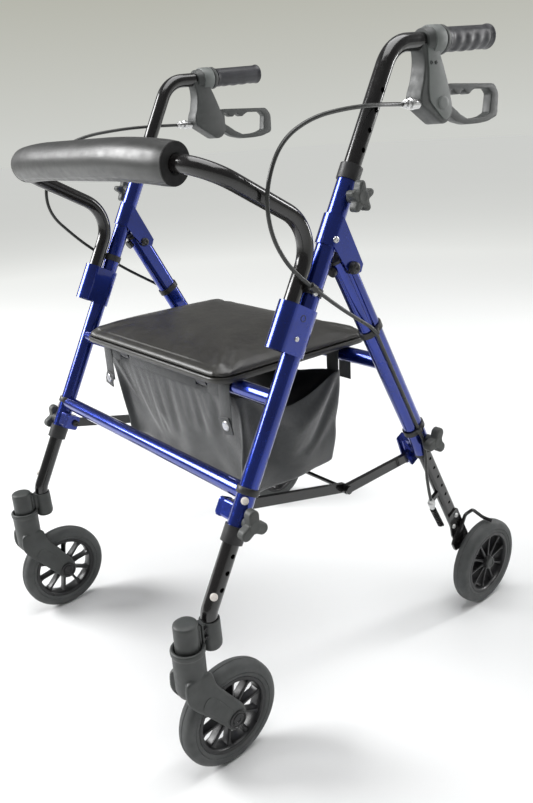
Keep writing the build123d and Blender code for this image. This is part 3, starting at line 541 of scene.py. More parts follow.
def studio_world():
    """Paper backdrop that darkens upwards where the camera sees it, and a dim room for light."""
    world = bpy.data.worlds.new("studio")
    world.use_nodes = True
    tree = world.node_tree
    add, link = tree.nodes.new, tree.links.new
    place = add("ShaderNodeTexCoord").outputs["Generated"]
    height = add("ShaderNodeSeparateXYZ")
    link(place, height.inputs["Vector"])
    ramp = add("ShaderNodeValToRGB")
    link(height.outputs["Z"], ramp.inputs["Fac"])
    ramp.color_ramp.elements[0].color = (*FAR_PAPER, 1)
    ramp.color_ramp.elements[1].position = 0.2
    ramp.color_ramp.elements[1].color = (*HIGH_PAPER, 1)
    room = add("ShaderNodeBackground")
    room.inputs["Color"].default_value = (1, 1, 1, 1)
    room.inputs["Strength"].default_value = ROOM_LIGHT
    backdrop = tree.nodes["Background"]
    link(ramp.outputs["Color"], backdrop.inputs["Color"])
    mixed = add("ShaderNodeMixShader")
    link(add("ShaderNodeLightPath").outputs["Is Camera Ray"], mixed.inputs["Fac"])
    link(room.outputs["Background"], mixed.inputs[1])
    link(backdrop.outputs["Background"], mixed.inputs[2])
    link(mixed.outputs["Shader"], tree.nodes["World Output"].inputs["Surface"])
    return world


def make_studio():
    half = 40.0
    corners = [(-half, -half, 0), (half, -half, 0), (half, half, 0), (-half, half, 0)]
    mesh = bpy.data.meshes.new("floor")
    mesh.from_pydata(corners, [], [(0, 1, 2, 3)])
    floor = new_piece("floor", mesh)
    paper = Finish("studio_paper", (0.80, 0.81, 0.82), 0.85, specular=0.15)
    paper.color_range(paper.noise(0.8, 2), (0.79, 0.80, 0.80), (0.82, 0.825, 0.825))
    # Painted glow: the floor emits light that rises with distance from the walker, standing in for lamp light on
    # the far paper.
    away = paper.add("ShaderNodeVectorMath", {0: paper.place}, operation="LENGTH").outputs["Value"]
    glow = paper.add("ShaderNodeMapRange", {"Value": away, "From Min": 0.8, "From Max": 4.0, "To Max": 0.72})
    paper.tree.links.new(glow.outputs["Result"], paper.shader.inputs["Emission Strength"])
    paper.set("Emission Color", (*FAR_PAPER, 1))
    floor.data.materials.append(paper.material)
    bpy.context.scene.world = studio_world()
    middle = (0, 0, 0.5)
    softbox("key", (-2.2, -2.1, 2.2), middle, (1.7, 1.7), 150)
    softbox("top", (0.3, 0.2, 3.0), middle, (2.6, 2.2), 70)
    softbox("back_strip", (0.8, 2.4, 1.3), middle, (0.35, 1.6), 26)
    bpy.context.scene.view_settings.view_transform = "Standard"


make_camera()
make_studio()


# ---- seat ----
SEAT_LOW, SEAT_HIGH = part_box("seat_pad")
SEAT_CORNER = 27 * MM


def seat_ring(inset, z, corner=SEAT_CORNER, steps=8):
    """Rounded rectangle inside the seat's outline, at a height."""
    half_x = (SEAT_HIGH.x - SEAT_LOW.x) / 2 - inset
    half_y = (SEAT_HIGH.y - SEAT_LOW.y) / 2 - inset
    corner = min(max(corner - 0.4 * inset, 0.006), half_y, half_x)
    center_y = (SEAT_HIGH.y + SEAT_LOW.y) / 2
    ring = []
    for quarter, (sx, sy) in enumerate(((1, 1), (-1, 1), (-1, -1), (1, -1))):
        for step in range(steps + 1):
            angle = pi / 2 * (quarter + step / steps)
            x = sx * (half_x - corner) + corner * cos(angle)
            y = sy * (half_y - corner) + corner * sin(angle)
            ring.append(Vector((x, center_y + y, z)))
    return ring


def inflate(piece, voxel, cap, floor_z, pressure=4.0, frames=20):
    """Fills a closed pad by cloth simulation, held below floor_z, each point within cap of its start."""
    remesh = piece.modifiers.new("Remesh", "REMESH")
    remesh.mode = "VOXEL"
    remesh.voxel_size = voxel
    with_modifiers(piece)
    start = coordinates(piece.data)
    held = piece.vertex_groups.new(name="held")
    held.add([i for i, point in enumerate(start) if point[2] < floor_z], 1.0, "REPLACE")
    run_cloth(piece, frames, pressure, "held", 0.0, 0.0)
    moved = coordinates(piece.data) - start
    length = np.linalg.norm(moved, axis=1, keepdims=True)
    set_coordinates(piece.data, start + moved * np.minimum(1, cap / np.maximum(length, 1e-9)))
    piece.vertex_groups.clear()
    smooth = piece.modifiers.new("Smooth", "SMOOTH")
    smooth.iterations = 5
    piece.modifiers.new("Subdivision", "SUBSURF").levels = 1
    with_modifiers(piece)
    piece.data.shade_smooth()
    return piece


def run_cloth(piece, frames, pressure, pinned, gravity, slack):
    """Steps a cloth simulation on a piece and keeps its last shape."""
    cloth = piece.modifiers.new("Cloth", "CLOTH")
    settings = cloth.settings
    settings.quality = 6
    settings.mass = 0.25
    settings.tension_stiffness = 18
    settings.compression_stiffness = 12
    settings.shear_stiffness = 6
    settings.bending_stiffness = 0.6
    settings.vertex_group_mass = pinned
    settings.use_pressure = pressure > 0
    settings.uniform_pressure_force = pressure
    settings.shrink_min = -slack
    settings.effector_weights.gravity = gravity
    cloth.collision_settings.use_collision = False
    cloth.collision_settings.use_self_collision = False
    cloth.point_cache.frame_start = 1
    cloth.point_cache.frame_end = frames
    scene = bpy.context.scene
    for step in range(1, frames + 1):
        scene.frame_set(step)
    with_modifiers(piece)
    scene.frame_set(1)


def seat_cushion():
    """Crowned vinyl pad, pinched at its corners, pulled down over the board's edge."""
    side = 9 * MM
    crown = SEAT_HIGH.z - SEAT_LOW.z - side - 2 * MM
    reach = (SEAT_HIGH.y - SEAT_LOW.y) / 2
    rings = [seat_ring(3 * MM, SEAT_LOW.z + 0.1 * MM), seat_ring(0.6 * MM, SEAT_LOW.z + 2 * MM)]
    rings.append(seat_ring(0, SEAT_LOW.z + 0.7 * side))
    for step in range(24):
        share = (step / 23) ** 1.6
        inset = 0.8 * MM + share * (reach - 4 * MM)
        rise = 1 - (1 - share) ** 2.5
        rings.append(seat_ring(inset, SEAT_LOW.z + side + crown * rise))
    pad = inflate(from_rings("seat_cushion", rings), 4.5 * MM, 3 * MM, SEAT_LOW.z + 3 * MM)
    points = coordinates(pad.data)
    center_y = (SEAT_HIGH.y + SEAT_LOW.y) / 2
    share_x = np.abs(points[:, 0]) / SEAT_HIGH.x
    share_y = np.abs(points[:, 1] - center_y) / reach
    points[:, 2] = np.minimum(points[:, 2], SEAT_HIGH.z + 3 * MM)
    pull = 1 - 0.010 * (1 - share_x ** 4) * (share_y > 0.9)
    points[:, 1] = center_y + (points[:, 1] - center_y) * pull
    set_coordinates(pad.data, points)
    dress(pad, "seat", "seat_vinyl")
    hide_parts("seat_pad")
    welt_profile = [
        (3.4, -6.2), (0.9, -6.2), (0.1, -5), (-0.3, -2.5), (0, 0.2), (0.8, 1.4), (3.4, 1.4), (3.4, -6.2)
    ]
    welt = from_rings(
        "seat_welt", [seat_ring(u * MM, SEAT_LOW.z + v * MM) for u, v in welt_profile], cap_ends=False
    )
    dress(welt, "seat", "seat_vinyl")


# ---- backrest ----
ROLL_LOW, ROLL_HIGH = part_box("backrest_pad")
ROLL_R = 25 * MM
BOW_SLOPE = radians(28)


def roll_center(x):
    """Middle of the padded bow, which bends back towards its ends."""
    drop = max(0.0, abs(x) - 78 * MM) ** 2 / (1000 * MM)
    center_y = ROLL_LOW.y + ROLL_R + drop * cos(BOW_SLOPE)
    return Vector((x, center_y, ROLL_HIGH.z - ROLL_R - drop * sin(BOW_SLOPE)))


def backrest_roll():
    """Foam roll in a sewn vinyl sleeve, with flat foam ends."""
    first, last = ROLL_LOW.x + 2 * MM, ROLL_HIGH.x - 2 * MM
    steps = 64
    sides = 72
    rings = []
    for step in range(steps + 1):
        x = first + (last - first) * step / steps
        center = roll_center(x)
        ahead = (roll_center(x + MM) - roll_center(x - MM)).normalized()
        across = Vector((0, -sin(BOW_SLOPE), -cos(BOW_SLOPE)))
        other = ahead.cross(across)
        from_end = min(step, steps - step)
        edge = (0.955, 0.985, 0.997)[from_end] if from_end < 3 else 1.0
        ring = []
        for side in range(sides):
            angle = 2 * pi * side / sides
            dent = 0.0035 * noise.noise(Vector((x * 14, cos(angle) * 1.3, sin(angle) * 1.3)))
            seam = -0.0011 * max(0.0, 1 - abs(side - sides / 2) / 1.5)
            radius = (ROLL_R - 0.2 * MM) * edge + 0.12 * dent + seam
            ring.append(center + (across * cos(angle + pi) + other * sin(angle + pi)) * radius)
        rings.append(ring)
    roll = from_rings("backrest_roll", rings, cap_ends=False)
    dress(roll, "backrest", "backrest_vinyl")
    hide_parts("backrest_pad")
    for label, x, end in (("left", last, 1), ("right", first, -1)):
        ahead = (roll_center(x) - roll_center(x - end * MM)).normalized()
        profile = [(-4, 10.7), (-4, 23.5), (-0.6, 24.0), (0.3, 23.2), (0.4, 16), (0.2, 12), (-1, 10.7)]
        cap = lathe(f"backrest_foam_end_{label}", roll_center(x), ahead, profile)
        dress(cap, "backrest", "backrest_vinyl", dark_foam)


# ---- storage bag ----
BAG_LOW, BAG_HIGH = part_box("storage_bag")
BAG_FRONT_TOP_Z = 471 * MM
STRAP_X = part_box("bag_straps")[1].x - 13 * MM  # the CAD straps are 26 mm wide


def bag_rim_z(x, y):
    """Height of the open rim: straight along the front, sagging along each side up to the rear straps."""
    along = (y - BAG_LOW.y) / (BAG_HIGH.y - BAG_LOW.y)
    side_rim = BAG_FRONT_TOP_Z - 27 * MM * sin(pi * min(1, along * 1.05)) ** 1.3 - 10 * MM * along
    middle = 1 - (abs(x) / BAG_HIGH.x) ** 4
    back = max(0.0, (along - 0.93) / 0.07)
    return side_rim - 9 * MM * middle * back


def bag_floor_z(x):
    """Height of the sagging bottom, which rides up towards the right-hand end."""
    lift = max(0.0, (-x - 20 * MM) / (150 * MM))
    return BAG_LOW.z + 1.5 * MM + 17 * MM * sin(min(1.0, lift) * pi * 0.6) ** 2


def bag_shell():
    """Open shell from the rim down the walls and across the bottom."""
    half_x = BAG_HIGH.x - 2 * MM
    around_count = 148
    outline = []
    depth = BAG_HIGH.y - BAG_LOW.y - 4 * MM
    length = 2 * (2 * half_x + depth)
    for i in range(around_count):
        s = length * i / around_count
        if s < depth:
            outline.append((half_x, s / depth))
        elif s < depth + 2 * half_x:
            outline.append((half_x - (s - depth), 1.0))
        elif s < 2 * depth + 2 * half_x:
            outline.append((-half_x, 1 - (s - depth - 2 * half_x) / depth))
        else:
            outline.append((-half_x + (s - 2 * depth - 2 * half_x), 0.0))
    down_count = 20
    rings = []
    for level in range(down_count + 1):
        share = level / down_count
        front = (BAG_LOW.y + 2 * MM) * (1 - share) + (BAG_LOW.y + 17 * MM) * share
        back = (BAG_HIGH.y - 2 * MM) * (1 - share) + (BAG_HIGH.y - 9 * MM) * share
        ring = []
        for x, along in outline:
            y = front + (back - front) * along
            top = bag_rim_z(x, BAG_LOW.y + (BAG_HIGH.y - BAG_LOW.y) * along)
            z = top + (bag_floor_z(x) - top) * share
            tuck = 1 - 0.04 * share ** 3
            ring.append(Vector((x * tuck, y, z)))
        rings.append(ring)
    center_y = (BAG_HIGH.y + BAG_LOW.y) / 2
    for step in range(1, 9):
        shrink = 1 - step / 8.6
        ring = []
        for point in rings[down_count]:
            floor_x = point.x * shrink
            floor_y = center_y + (point.y - center_y) * shrink
            ring.append(Vector((floor_x, floor_y, bag_floor_z(floor_x))))
        rings.append(ring)
    for ring in rings:
        for point in ring:
            swell = noise.noise(point * 11) * 5 * MM + noise.noise(point * 27 + Vector((3, 1, 7))) * 2.2 * MM
            height = min(1, max(0, (BAG_FRONT_TOP_Z - point.z) / (40 * MM)))
            point.y += swell * height * (1 if abs(point.y - center_y) > 0.06 else 0.3)
            point.x -= noise.noise(point * 16 + Vector((5, 5, 5))) * 6 * MM * height * (abs(point.x) > 0.15)
    return from_rings("storage_bag_shell", rings, cap_ends=False, angle=180)


def hung_bag():
    """Nylon bag hung by its front edge and rear straps, with its cloth let go slack."""
    bag = bag_shell()
    start = coordinates(bag.data)
    held = bag.vertex_groups.new(name="held")
    for i, (x, y, z) in enumerate(start):
        front_edge = z > BAG_FRONT_TOP_Z - 12 * MM and y < BAG_LOW.y + 12 * MM
        near_back = y > BAG_HIGH.y - 9 * MM and z > BAG_HIGH.z - 40 * MM
        rear_strap = near_back and abs(abs(x) - STRAP_X) < 15 * MM
        if front_edge or rear_strap:
            held.add([i], 1.0, "REPLACE")
    run_cloth(bag, 24, 0.0, "held", 0.55, 0.012)
    points = coordinates(bag.data)
    moved = points - start
    limit = 11 * MM
    length = np.linalg.norm(moved, axis=1, keepdims=True)
    points = start + moved * np.minimum(1, limit / np.maximum(length, 1e-9))
    points[:, 0] = np.clip(points[:, 0], BAG_LOW.x - 3 * MM, BAG_HIGH.x + 3 * MM)
    points[:, 1] = np.clip(points[:, 1], BAG_LOW.y - 5 * MM, BAG_HIGH.y)
    points[:, 2] = np.maximum(points[:, 2], BAG_LOW.z + 0.8 * MM)
    set_coordinates(bag.data, points)
    bag.vertex_groups.clear()
    solid = bag.modifiers.new("Thickness", "SOLIDIFY")
    solid.thickness = 1.1 * MM
    solid.offset = 0
    bag.modifiers.new("Subdivision", "SUBSURF").levels = 1
    with_modifiers(bag)
    bag.data.shade_smooth()
    dress(bag, "front_frame", "bag_fabric")
    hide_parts("storage_bag")
    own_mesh(bag)


def hook_profile(radius, front_drop, back_drop, thickness):
    """Outline points of cloth hung over the front crossbar: down in front, over the bar, down behind."""
    path = [(-radius, -front_drop), (-radius, -front_drop / 2), (-radius, 0)]
    path += [(-radius * cos(a), radius * sin(a)) for a in (pi * k / 10 for k in range(1, 10))]
    path += [(radius, 0), (radius, -back_drop)]
    outer, inner = [], []
    for i, (u, v) in enumerate(path):
        ahead = Vector(path[min(i + 1, len(path) - 1)]) - Vector(path[max(i - 1, 0)])
        normal = Vector((-ahead.y, ahead.x)).normalized() * thickness / 2
        outer.append((u + normal.x, v + normal.y))
        inner.append((u - normal.x, v - normal.y))
    return outer + inner[::-1]


def rear_bar_center():
    low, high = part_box("seat_rear_crossbar")
    return Vector((0, (low.y + high.y) / 2, (low.z + high.z) / 2))


def bag_hangers():
    """Hem sleeve over the front crossbar, straps over both crossbars and their press studs."""
    clip_low, clip_high = 91 * MM, 119 * MM
    sleeve = hook_profile(11.9, 16.5, 14, 0.7)
    spans = [(-clip_low, clip_low), (clip_high, BAG_HIGH.x - 8 * MM), (-BAG_HIGH.x + 8 * MM, -clip_high)]
    parts = [plate("hem", [around(SEAT_BAR, sleeve)], low, high, 0.3 * MM, 1) for low, high in spans]
    hem = joined("bag_hem_sleeve", parts)
    dress(hem, "front_frame", "bag_fabric")
    for label, center, front, back in (
        ("front", SEAT_BAR, 55, 20),
        ("rear", rear_bar_center(), 26, 44),
    ):
        outline = around(center, hook_profile(12.95, front, back, 0.9))
        strap = plate(f"bag_strap_{label}", [outline], STRAP_X - 12 * MM, STRAP_X + 12 * MM, 0.35 * MM, 1)
        pair = both_sides(strap, "front_frame", "bag_fabric", "bag_straps")
        for made in pair.values():
            if label == "rear":
                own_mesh(made)
    tab_offsets = [(-4, -14.6, -44), (0, -15.0, -50), (4, -15.0, -58), (5, -14.6, -66)]
    tab_points = [Vector((STRAP_X, SEAT_BAR.y, SEAT_BAR.z)) + Vector(offset) * MM for offset in tab_offsets]
    tab = ribbon("bag_strap_tab", tab_points, Vector((1, 0, 0.2)), 23, 2.0)
    both_sides(tab, "front_frame", "bag_fabric")
    stud_place = (tab_points[1] + tab_points[2]) / 2 - Vector((0, 1, 0)) * MM
    stud_profile = [(-0.2, 7.2), (0.5, 7.2), (1.2, 6.6), (1.5, 5.4), (1.2, 4.6), (1.4, 1.8), (1.45, 0)]
    both_sides(
        lathe("bag_stud_front", stud_place, (0, -1, -0.05), stud_profile, 32), "front_frame", "bolt_steel"
    )


# ---- brake cables ----
CABLE_R = 2.5 * MM
CABLE_BULGE = 16 * MM  # the right cable swings further forward in its free loop
FREE_LOOP = range(4, 8)


def cable_route(side):
    """Control points of a brake cable, made on the left."""
    front = [
        (6, -77.3, 4), (7.6, -99, 4.2), (17, -135, 4), (16, -187, 1.6), (15.4, -245, -7), (16, -293, -30),
        (17.4, -318, -75), (18.8, -318, -122), (19.2, -297, -161), (18.8, -267, -188), (17.4, -211, -229),
        (15.8, -171, -254.5),
    ]
    points = [LEVER_PIN + Vector(offset) * MM for offset in front]
    if side == "right":
        points = [p - Vector((0, CABLE_BULGE, 0)) if i in FREE_LOOP else p for i, p in enumerate(points)]
    in_leg = [
        (96, 7, 14.6), (122, 4, 10.6), (303, 4, 10.6), (323, 5.2, 13.4), (357, 16.5, 13.2), (395, 27, 8),
        (437, 34, 6),
    ]
    return points + [rear_point(*place) for place in in_leg]


def nearest(points, target):
    return min(range(len(points)), key=lambda i: (points[i] - target).length)


def brake_cables():
    """Each cable in three stretches, split near the handle, fold and rear-height joints; the stretches are not
    attached to any body.
    """
    for side, sign in (("left", 1), ("right", -1)):
        line = spline_points(cable_route(side), 20)
        clip = nearest(line, front_point(419, -14, 19))
        groove = nearest(line, rear_point(112, 5, 12))
        leaving = nearest(line, rear_point(300, 4, 10.6))
        line = [Vector((sign * p.x, p.y, p.z)) for p in line]
        stretches = [
            ("upper", line[: clip + 1], f"handle_{side}", "front_frame", line[0], line[clip]),
            ("middle", line[clip: leaving + 1], "front_frame", "rear_frame", line[clip], line[groove]),
            ("lower", line[leaving:], "rear_frame", f"rear_extension_{side}", line[leaving], line[-1]),
        ]
        for label, points, body_a, body_b, start, end in stretches:
            piece = tube(f"brake_cable_{label}_{side}", points, CABLE_R, 16)
            piece.data.materials.append(finishes["cable_jacket"])
            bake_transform(piece)
            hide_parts(f"brake_cable_{side}")


# ---- wheels ----
def torus_profile(points):
    """Closed profile turned into a ring."""
    return points + points[:1]


def ring_piece(name, center, profile, segments=96):
    """Ring about X. profile holds (x, radius) in millimetres from the wheel's middle plane."""
    rings = []
    for x, radius in torus_profile(profile):
        turn = [2 * pi * i / segments for i in range(segments)]
        rings.append([center + Vector((x, radius * cos(a), radius * sin(a))) * MM for a in turn])
    return from_rings(name, rings, cap_ends=False)


def tyre_profile(width):
    """Solid tyre with a centre line and a step on each side wall."""
    half = width / 2
    side = [
        (half - 1.2, 55.4), (half - 0.6, 56.5), (half - 0.4, 60.5), (half - 0.9, 61), (half, 61.6),
        (half, 66), (half - 0.8, 69.6), (half - 2.8, 72.4), (half - 5.6, 74.1), (half - 8.5, 74.8), (1.3, 75),
        (0.7, 74.3)
    ]
    return side + [(-x, r) for x, r in reversed(side)]


def wheel_center_parts(center, width, spokes=10):
    """Rim, hub and tapering spokes of a moulded wheel."""
    half = width / 2 - 1
    rim_side = [(half, 54.9), (half, 50.2), (half - 1.2, 49), (half - 5, 48.2), (3, 47.6)]
    parts = [ring_piece("rim", center, rim_side + [(-x, r) for x, r in reversed(rim_side)])]
    hub = [
        (-half - 1, 4.1), (-half - 1, 9.5), (-half, 11), (-5, 12.6), (5, 12.6), (half, 11), (half + 1, 9.5),
        (half + 1, 4.1)
    ]
    parts.append(ring_piece("hub", center, hub, 48))
    for spoke in range(spokes):
        angle = 2 * pi * (spoke + 0.25) / spokes
        radial = Vector((0, cos(angle), sin(angle)))
        across = Vector((0, -sin(angle), cos(angle)))
        rings = []
        for reach, thick, deep in (
            (10.5, 3.4, 8.5), (14, 2.7, 8), (28, 2.1, 7), (42, 2.2, 6.6), (46.5, 3.4, 7.4), (49, 5, 8)
        ):
            ring = []
            for u, v in rounded([(-1, -1), (1, -1), (1, 1), (-1, 1)], 0.5, 3):
                ring.append(center + (radial * reach + across * u * thick + X_AXIS * v * deep) * MM)
            rings.append(ring)
        parts.append(from_rings("spoke", rings))
    return parts


def hub_cap(name, place, axis, radius):
    profile = [
        (-1, radius), (1.4, radius), (2.4, radius - 1.2), (2.4, radius - 3), (1.4, radius - 3.6), (1.8, 2),
        (1.9, 0)
    ]
    return lathe(name, place, axis, profile, 40)


def wheels():
    width = 26
    for label, center in (("front", FRONT_AXLE), ("rear", REAR_AXLE)):
        tyre = ring_piece(f"{label}_tyre_tread", center, tyre_profile(width), 128)
        both_sides(tyre, label + "_wheel_{side}", "tyre_rubber", label + "_tyre_{side}")
        rim = joined(f"{label}_wheel_spokes", wheel_center_parts(center, width))
        both_sides(rim, label + "_wheel_{side}", "wheel_plastic", label + "_wheel_{side}")
    face = REAR_AXLE + Vector(((width / 2 - 0.2) * MM, 0, 0))
    both_sides(hub_cap("rear_hub_cap", face, X_AXIS, 10.5), "rear_wheel_{side}", "knob_plastic")


# ---- casters ----
def caster_forks():
    """Moulded fork: round crown with a lip, and two arms with a raised panel and a sunk hub bolt."""
    crown_foot = Vector((SIDE_X, CASTER_Y, 0))
    profile = [
        (137, 2), (137, 13), (140, 18.4), (147, 20.6), (172, 20.9), (199, 21), (200.5, 22.4), (206, 22.5),
        (207.8, 21.2), (207.8, 18.4), (205, 17.4), (197, 17.2), (197, 0)
    ]
    crown = lathe("crown", crown_foot, (0, 0, 1), profile)
    arm = [(-70, 96), (-72, 70), (-64, 54), (-46, 33), (-17, -4), (-10, -14), (4, -18), (14, -11), (16.5, 2),
           (12, 17), (-8, 45), (-28, 74), (-31, 96)]
    inner, outer = 14.6 * MM, 21 * MM
    parts = [crown]
    for low, high in ((SIDE_X + inner, SIDE_X + outer), (SIDE_X - outer, SIDE_X - inner)):
        parts.append(plate("arm", [around(FRONT_AXLE, rounded(arm, 9))], low, high, 2.2 * MM))
    bridge = [(-68, 90), (-68, 66), (-58, 66), (-30, 79), (-33, 92)]
    parts.append(
        plate("bridge", [around(FRONT_AXLE, rounded(bridge, 5))], SIDE_X - outer, SIDE_X + outer, 2 * MM)
    )
    fork = fused("caster_fork_moulding", parts, 1.15 * MM, 5)
    points = coordinates(fork.data)
    offset = points[:, 1:] - np.array(FRONT_AXLE[1:])
    reach = np.linalg.norm(offset, axis=1, keepdims=True)
    room = WHEEL_R + 3 * MM
    near = (np.abs(points[:, 0] - SIDE_X) < 13.9 * MM)[:, None] & (reach < room)
    points[:, 1:] = np.where(
        near, np.array(FRONT_AXLE[1:]) + offset * room / np.maximum(reach, 1e-6), points[:, 1:]
    )
    set_coordinates(fork.data, points)
    both_sides(fork, "caster_{side}", "grey_plastic", "caster_fork_{side}")
    panel = [(-46, 58), (-52, 48), (-22, 10), (-12, 8), (-6, 17), (-26, 48), (-38, 60)]
    outline = around(FRONT_AXLE, rounded(panel, 9))
    faces = (
        ("outer", outer - 0.6 * MM, outer + 0.7 * MM, 1), ("inner", -outer - 0.7 * MM, -outer + 0.6 * MM, -1)
    )
    for label, low, high, way in faces:
        raised = plate(f"fork_{label}_panel", [outline], SIDE_X + low, SIDE_X + high, 0.5 * MM)
        both_sides(raised, "caster_{side}", "grey_plastic")
        bolt_place = FRONT_AXLE + X_AXIS * way * outer
        ring = [
            (-1, 13.4), (1.2, 13.4), (1.9, 12.4), (1.9, 11.2), (0.4, 10.4), (0.3, 8.4), (1.5, 7.6), (1.7, 4),
            (0.6, 3.2), (0.5, 0)
        ]
        both_sides(
            lathe(f"fork_{label}_bolt", bolt_place, X_AXIS * way, ring, 40), "caster_{side}", "wheel_plastic"
        )


def caster_housings():
    """Domed stem cover and leg socket joined by a ribbed web with screws."""
    stem_foot = Vector((SIDE_X, CASTER_Y, 0))
    stem = [
        (198, 4), (198, 15.4), (201, 16), (238.5, 16), (240.6, 15.5), (241.8, 14.2), (242.9, 9), (243.3, 0)
    ]
    socket_foot = Vector((SIDE_X, LEG_BEND.y, 0))
    socket = [
        (188.6, 0), (188.8, 8), (190, 11.8), (193, 13.8), (197, 14.4), (228, 13.6), (231, 13.3), (231, 11.4),
        (228, 11.3)
    ]
    parts = [
        lathe("stem", stem_foot, (0, 0, 1), stem, angle=30),
        lathe("socket", socket_foot, (0, 0, 1), socket, angle=30)
    ]
    middle = Vector((SIDE_X, (CASTER_Y + LEG_BEND.y) / 2, 0))
    web = [(-12, 212), (12, 206), (12, 231), (-12, 233)]
    parts.append(plate("web", [around(middle, rounded(web, 3))], SIDE_X - 7 * MM, SIDE_X + 7 * MM, 1 * MM))
    for rib in (-3.4, 1.2):
        shape = [(rib - 1.1, 207), (rib + 1.1, 207), (rib + 1.1, 233.6), (rib - 1.1, 233.6)]
        parts.append(plate("rib", [around(middle, shape)], SIDE_X - 9.4 * MM, SIDE_X + 9.4 * MM, 0.5 * MM))
    both_sides(
        joined("caster_housing_moulding", parts), "front_extension_{side}", "grey_plastic",
        "caster_housing_{side}"
    )
    screws = []
    for z in (214, 226):
        place = middle + Vector((8.6 * MM, 5.4 * MM, z * MM))
        screws.append(
            lathe("screw", place, X_AXIS, [(-2, 2.6), (1.6, 2.6), (2.2, 1.8), (2.0, 1), (1.0, 0)], 20)
        )
    both_sides(
        joined("caster_housing_screws", screws), "front_extension_{side}", "knob_plastic",
        material=finishes["wheel_plastic"]
    )


# ---- handles ----
GRIP_LOW, GRIP_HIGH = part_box("hand_grip_left")
GRIP_SLOPE = 0.07
grip_axis = Vector((0, 1, GRIP_SLOPE)).normalized()
GRIP_START = Vector((SIDE_X, LEVER_PIN.y + 9 * MM, GRIP_LOW.z + 16.4 * MM))


def hand_grips():
    """Soft grip with finger hollows underneath and outside, and a flared, rounded end."""
    length = (GRIP_HIGH.y - GRIP_START.y) / grip_axis.y - 7 * MM
    down = Vector((0, GRIP_SLOPE, -1)).normalized()
    steps, sides = 90, 56
    rings = []
    for step in range(steps + 1):
        along = length * step / steps
        share = along / length
        ring = []
        for side in range(sides):
            angle = 2 * pi * side / sides
            hollow = 0.5 - 0.5 * cos(2 * pi * (along / (21 * MM)))
            hollow *= 1 if 0.10 < share < 0.88 else 0
            facing = max(0.0, cos(angle - 0.7)) ** 1.5
            radius = 15.0 * MM - 1.6 * MM * hollow * facing
            radius += 2.2 * MM * max(0.0, (share - 0.88) / 0.12) ** 2
            radius += 0.5 * MM * max(0.0, 1 - share / 0.05)
            bottom = max(0.0, cos(angle)) ** 2
            radius += 1.0 * MM * bottom * sin(pi * share)
            end = max(0.0, (along - (length - 5 * MM)) / (5 * MM))
            radius *= (1 - min(1.0, end) ** 4 * 0.25)
            direction = down * cos(angle) + X_AXIS * sin(angle)
            ring.append(GRIP_START + grip_axis * along + direction * radius)
        rings.append(ring)
    grip = from_rings("hand_grip_cover", rings)
    both_sides(grip, "handle_{side}", "grip_rubber", "hand_grip_{side}")


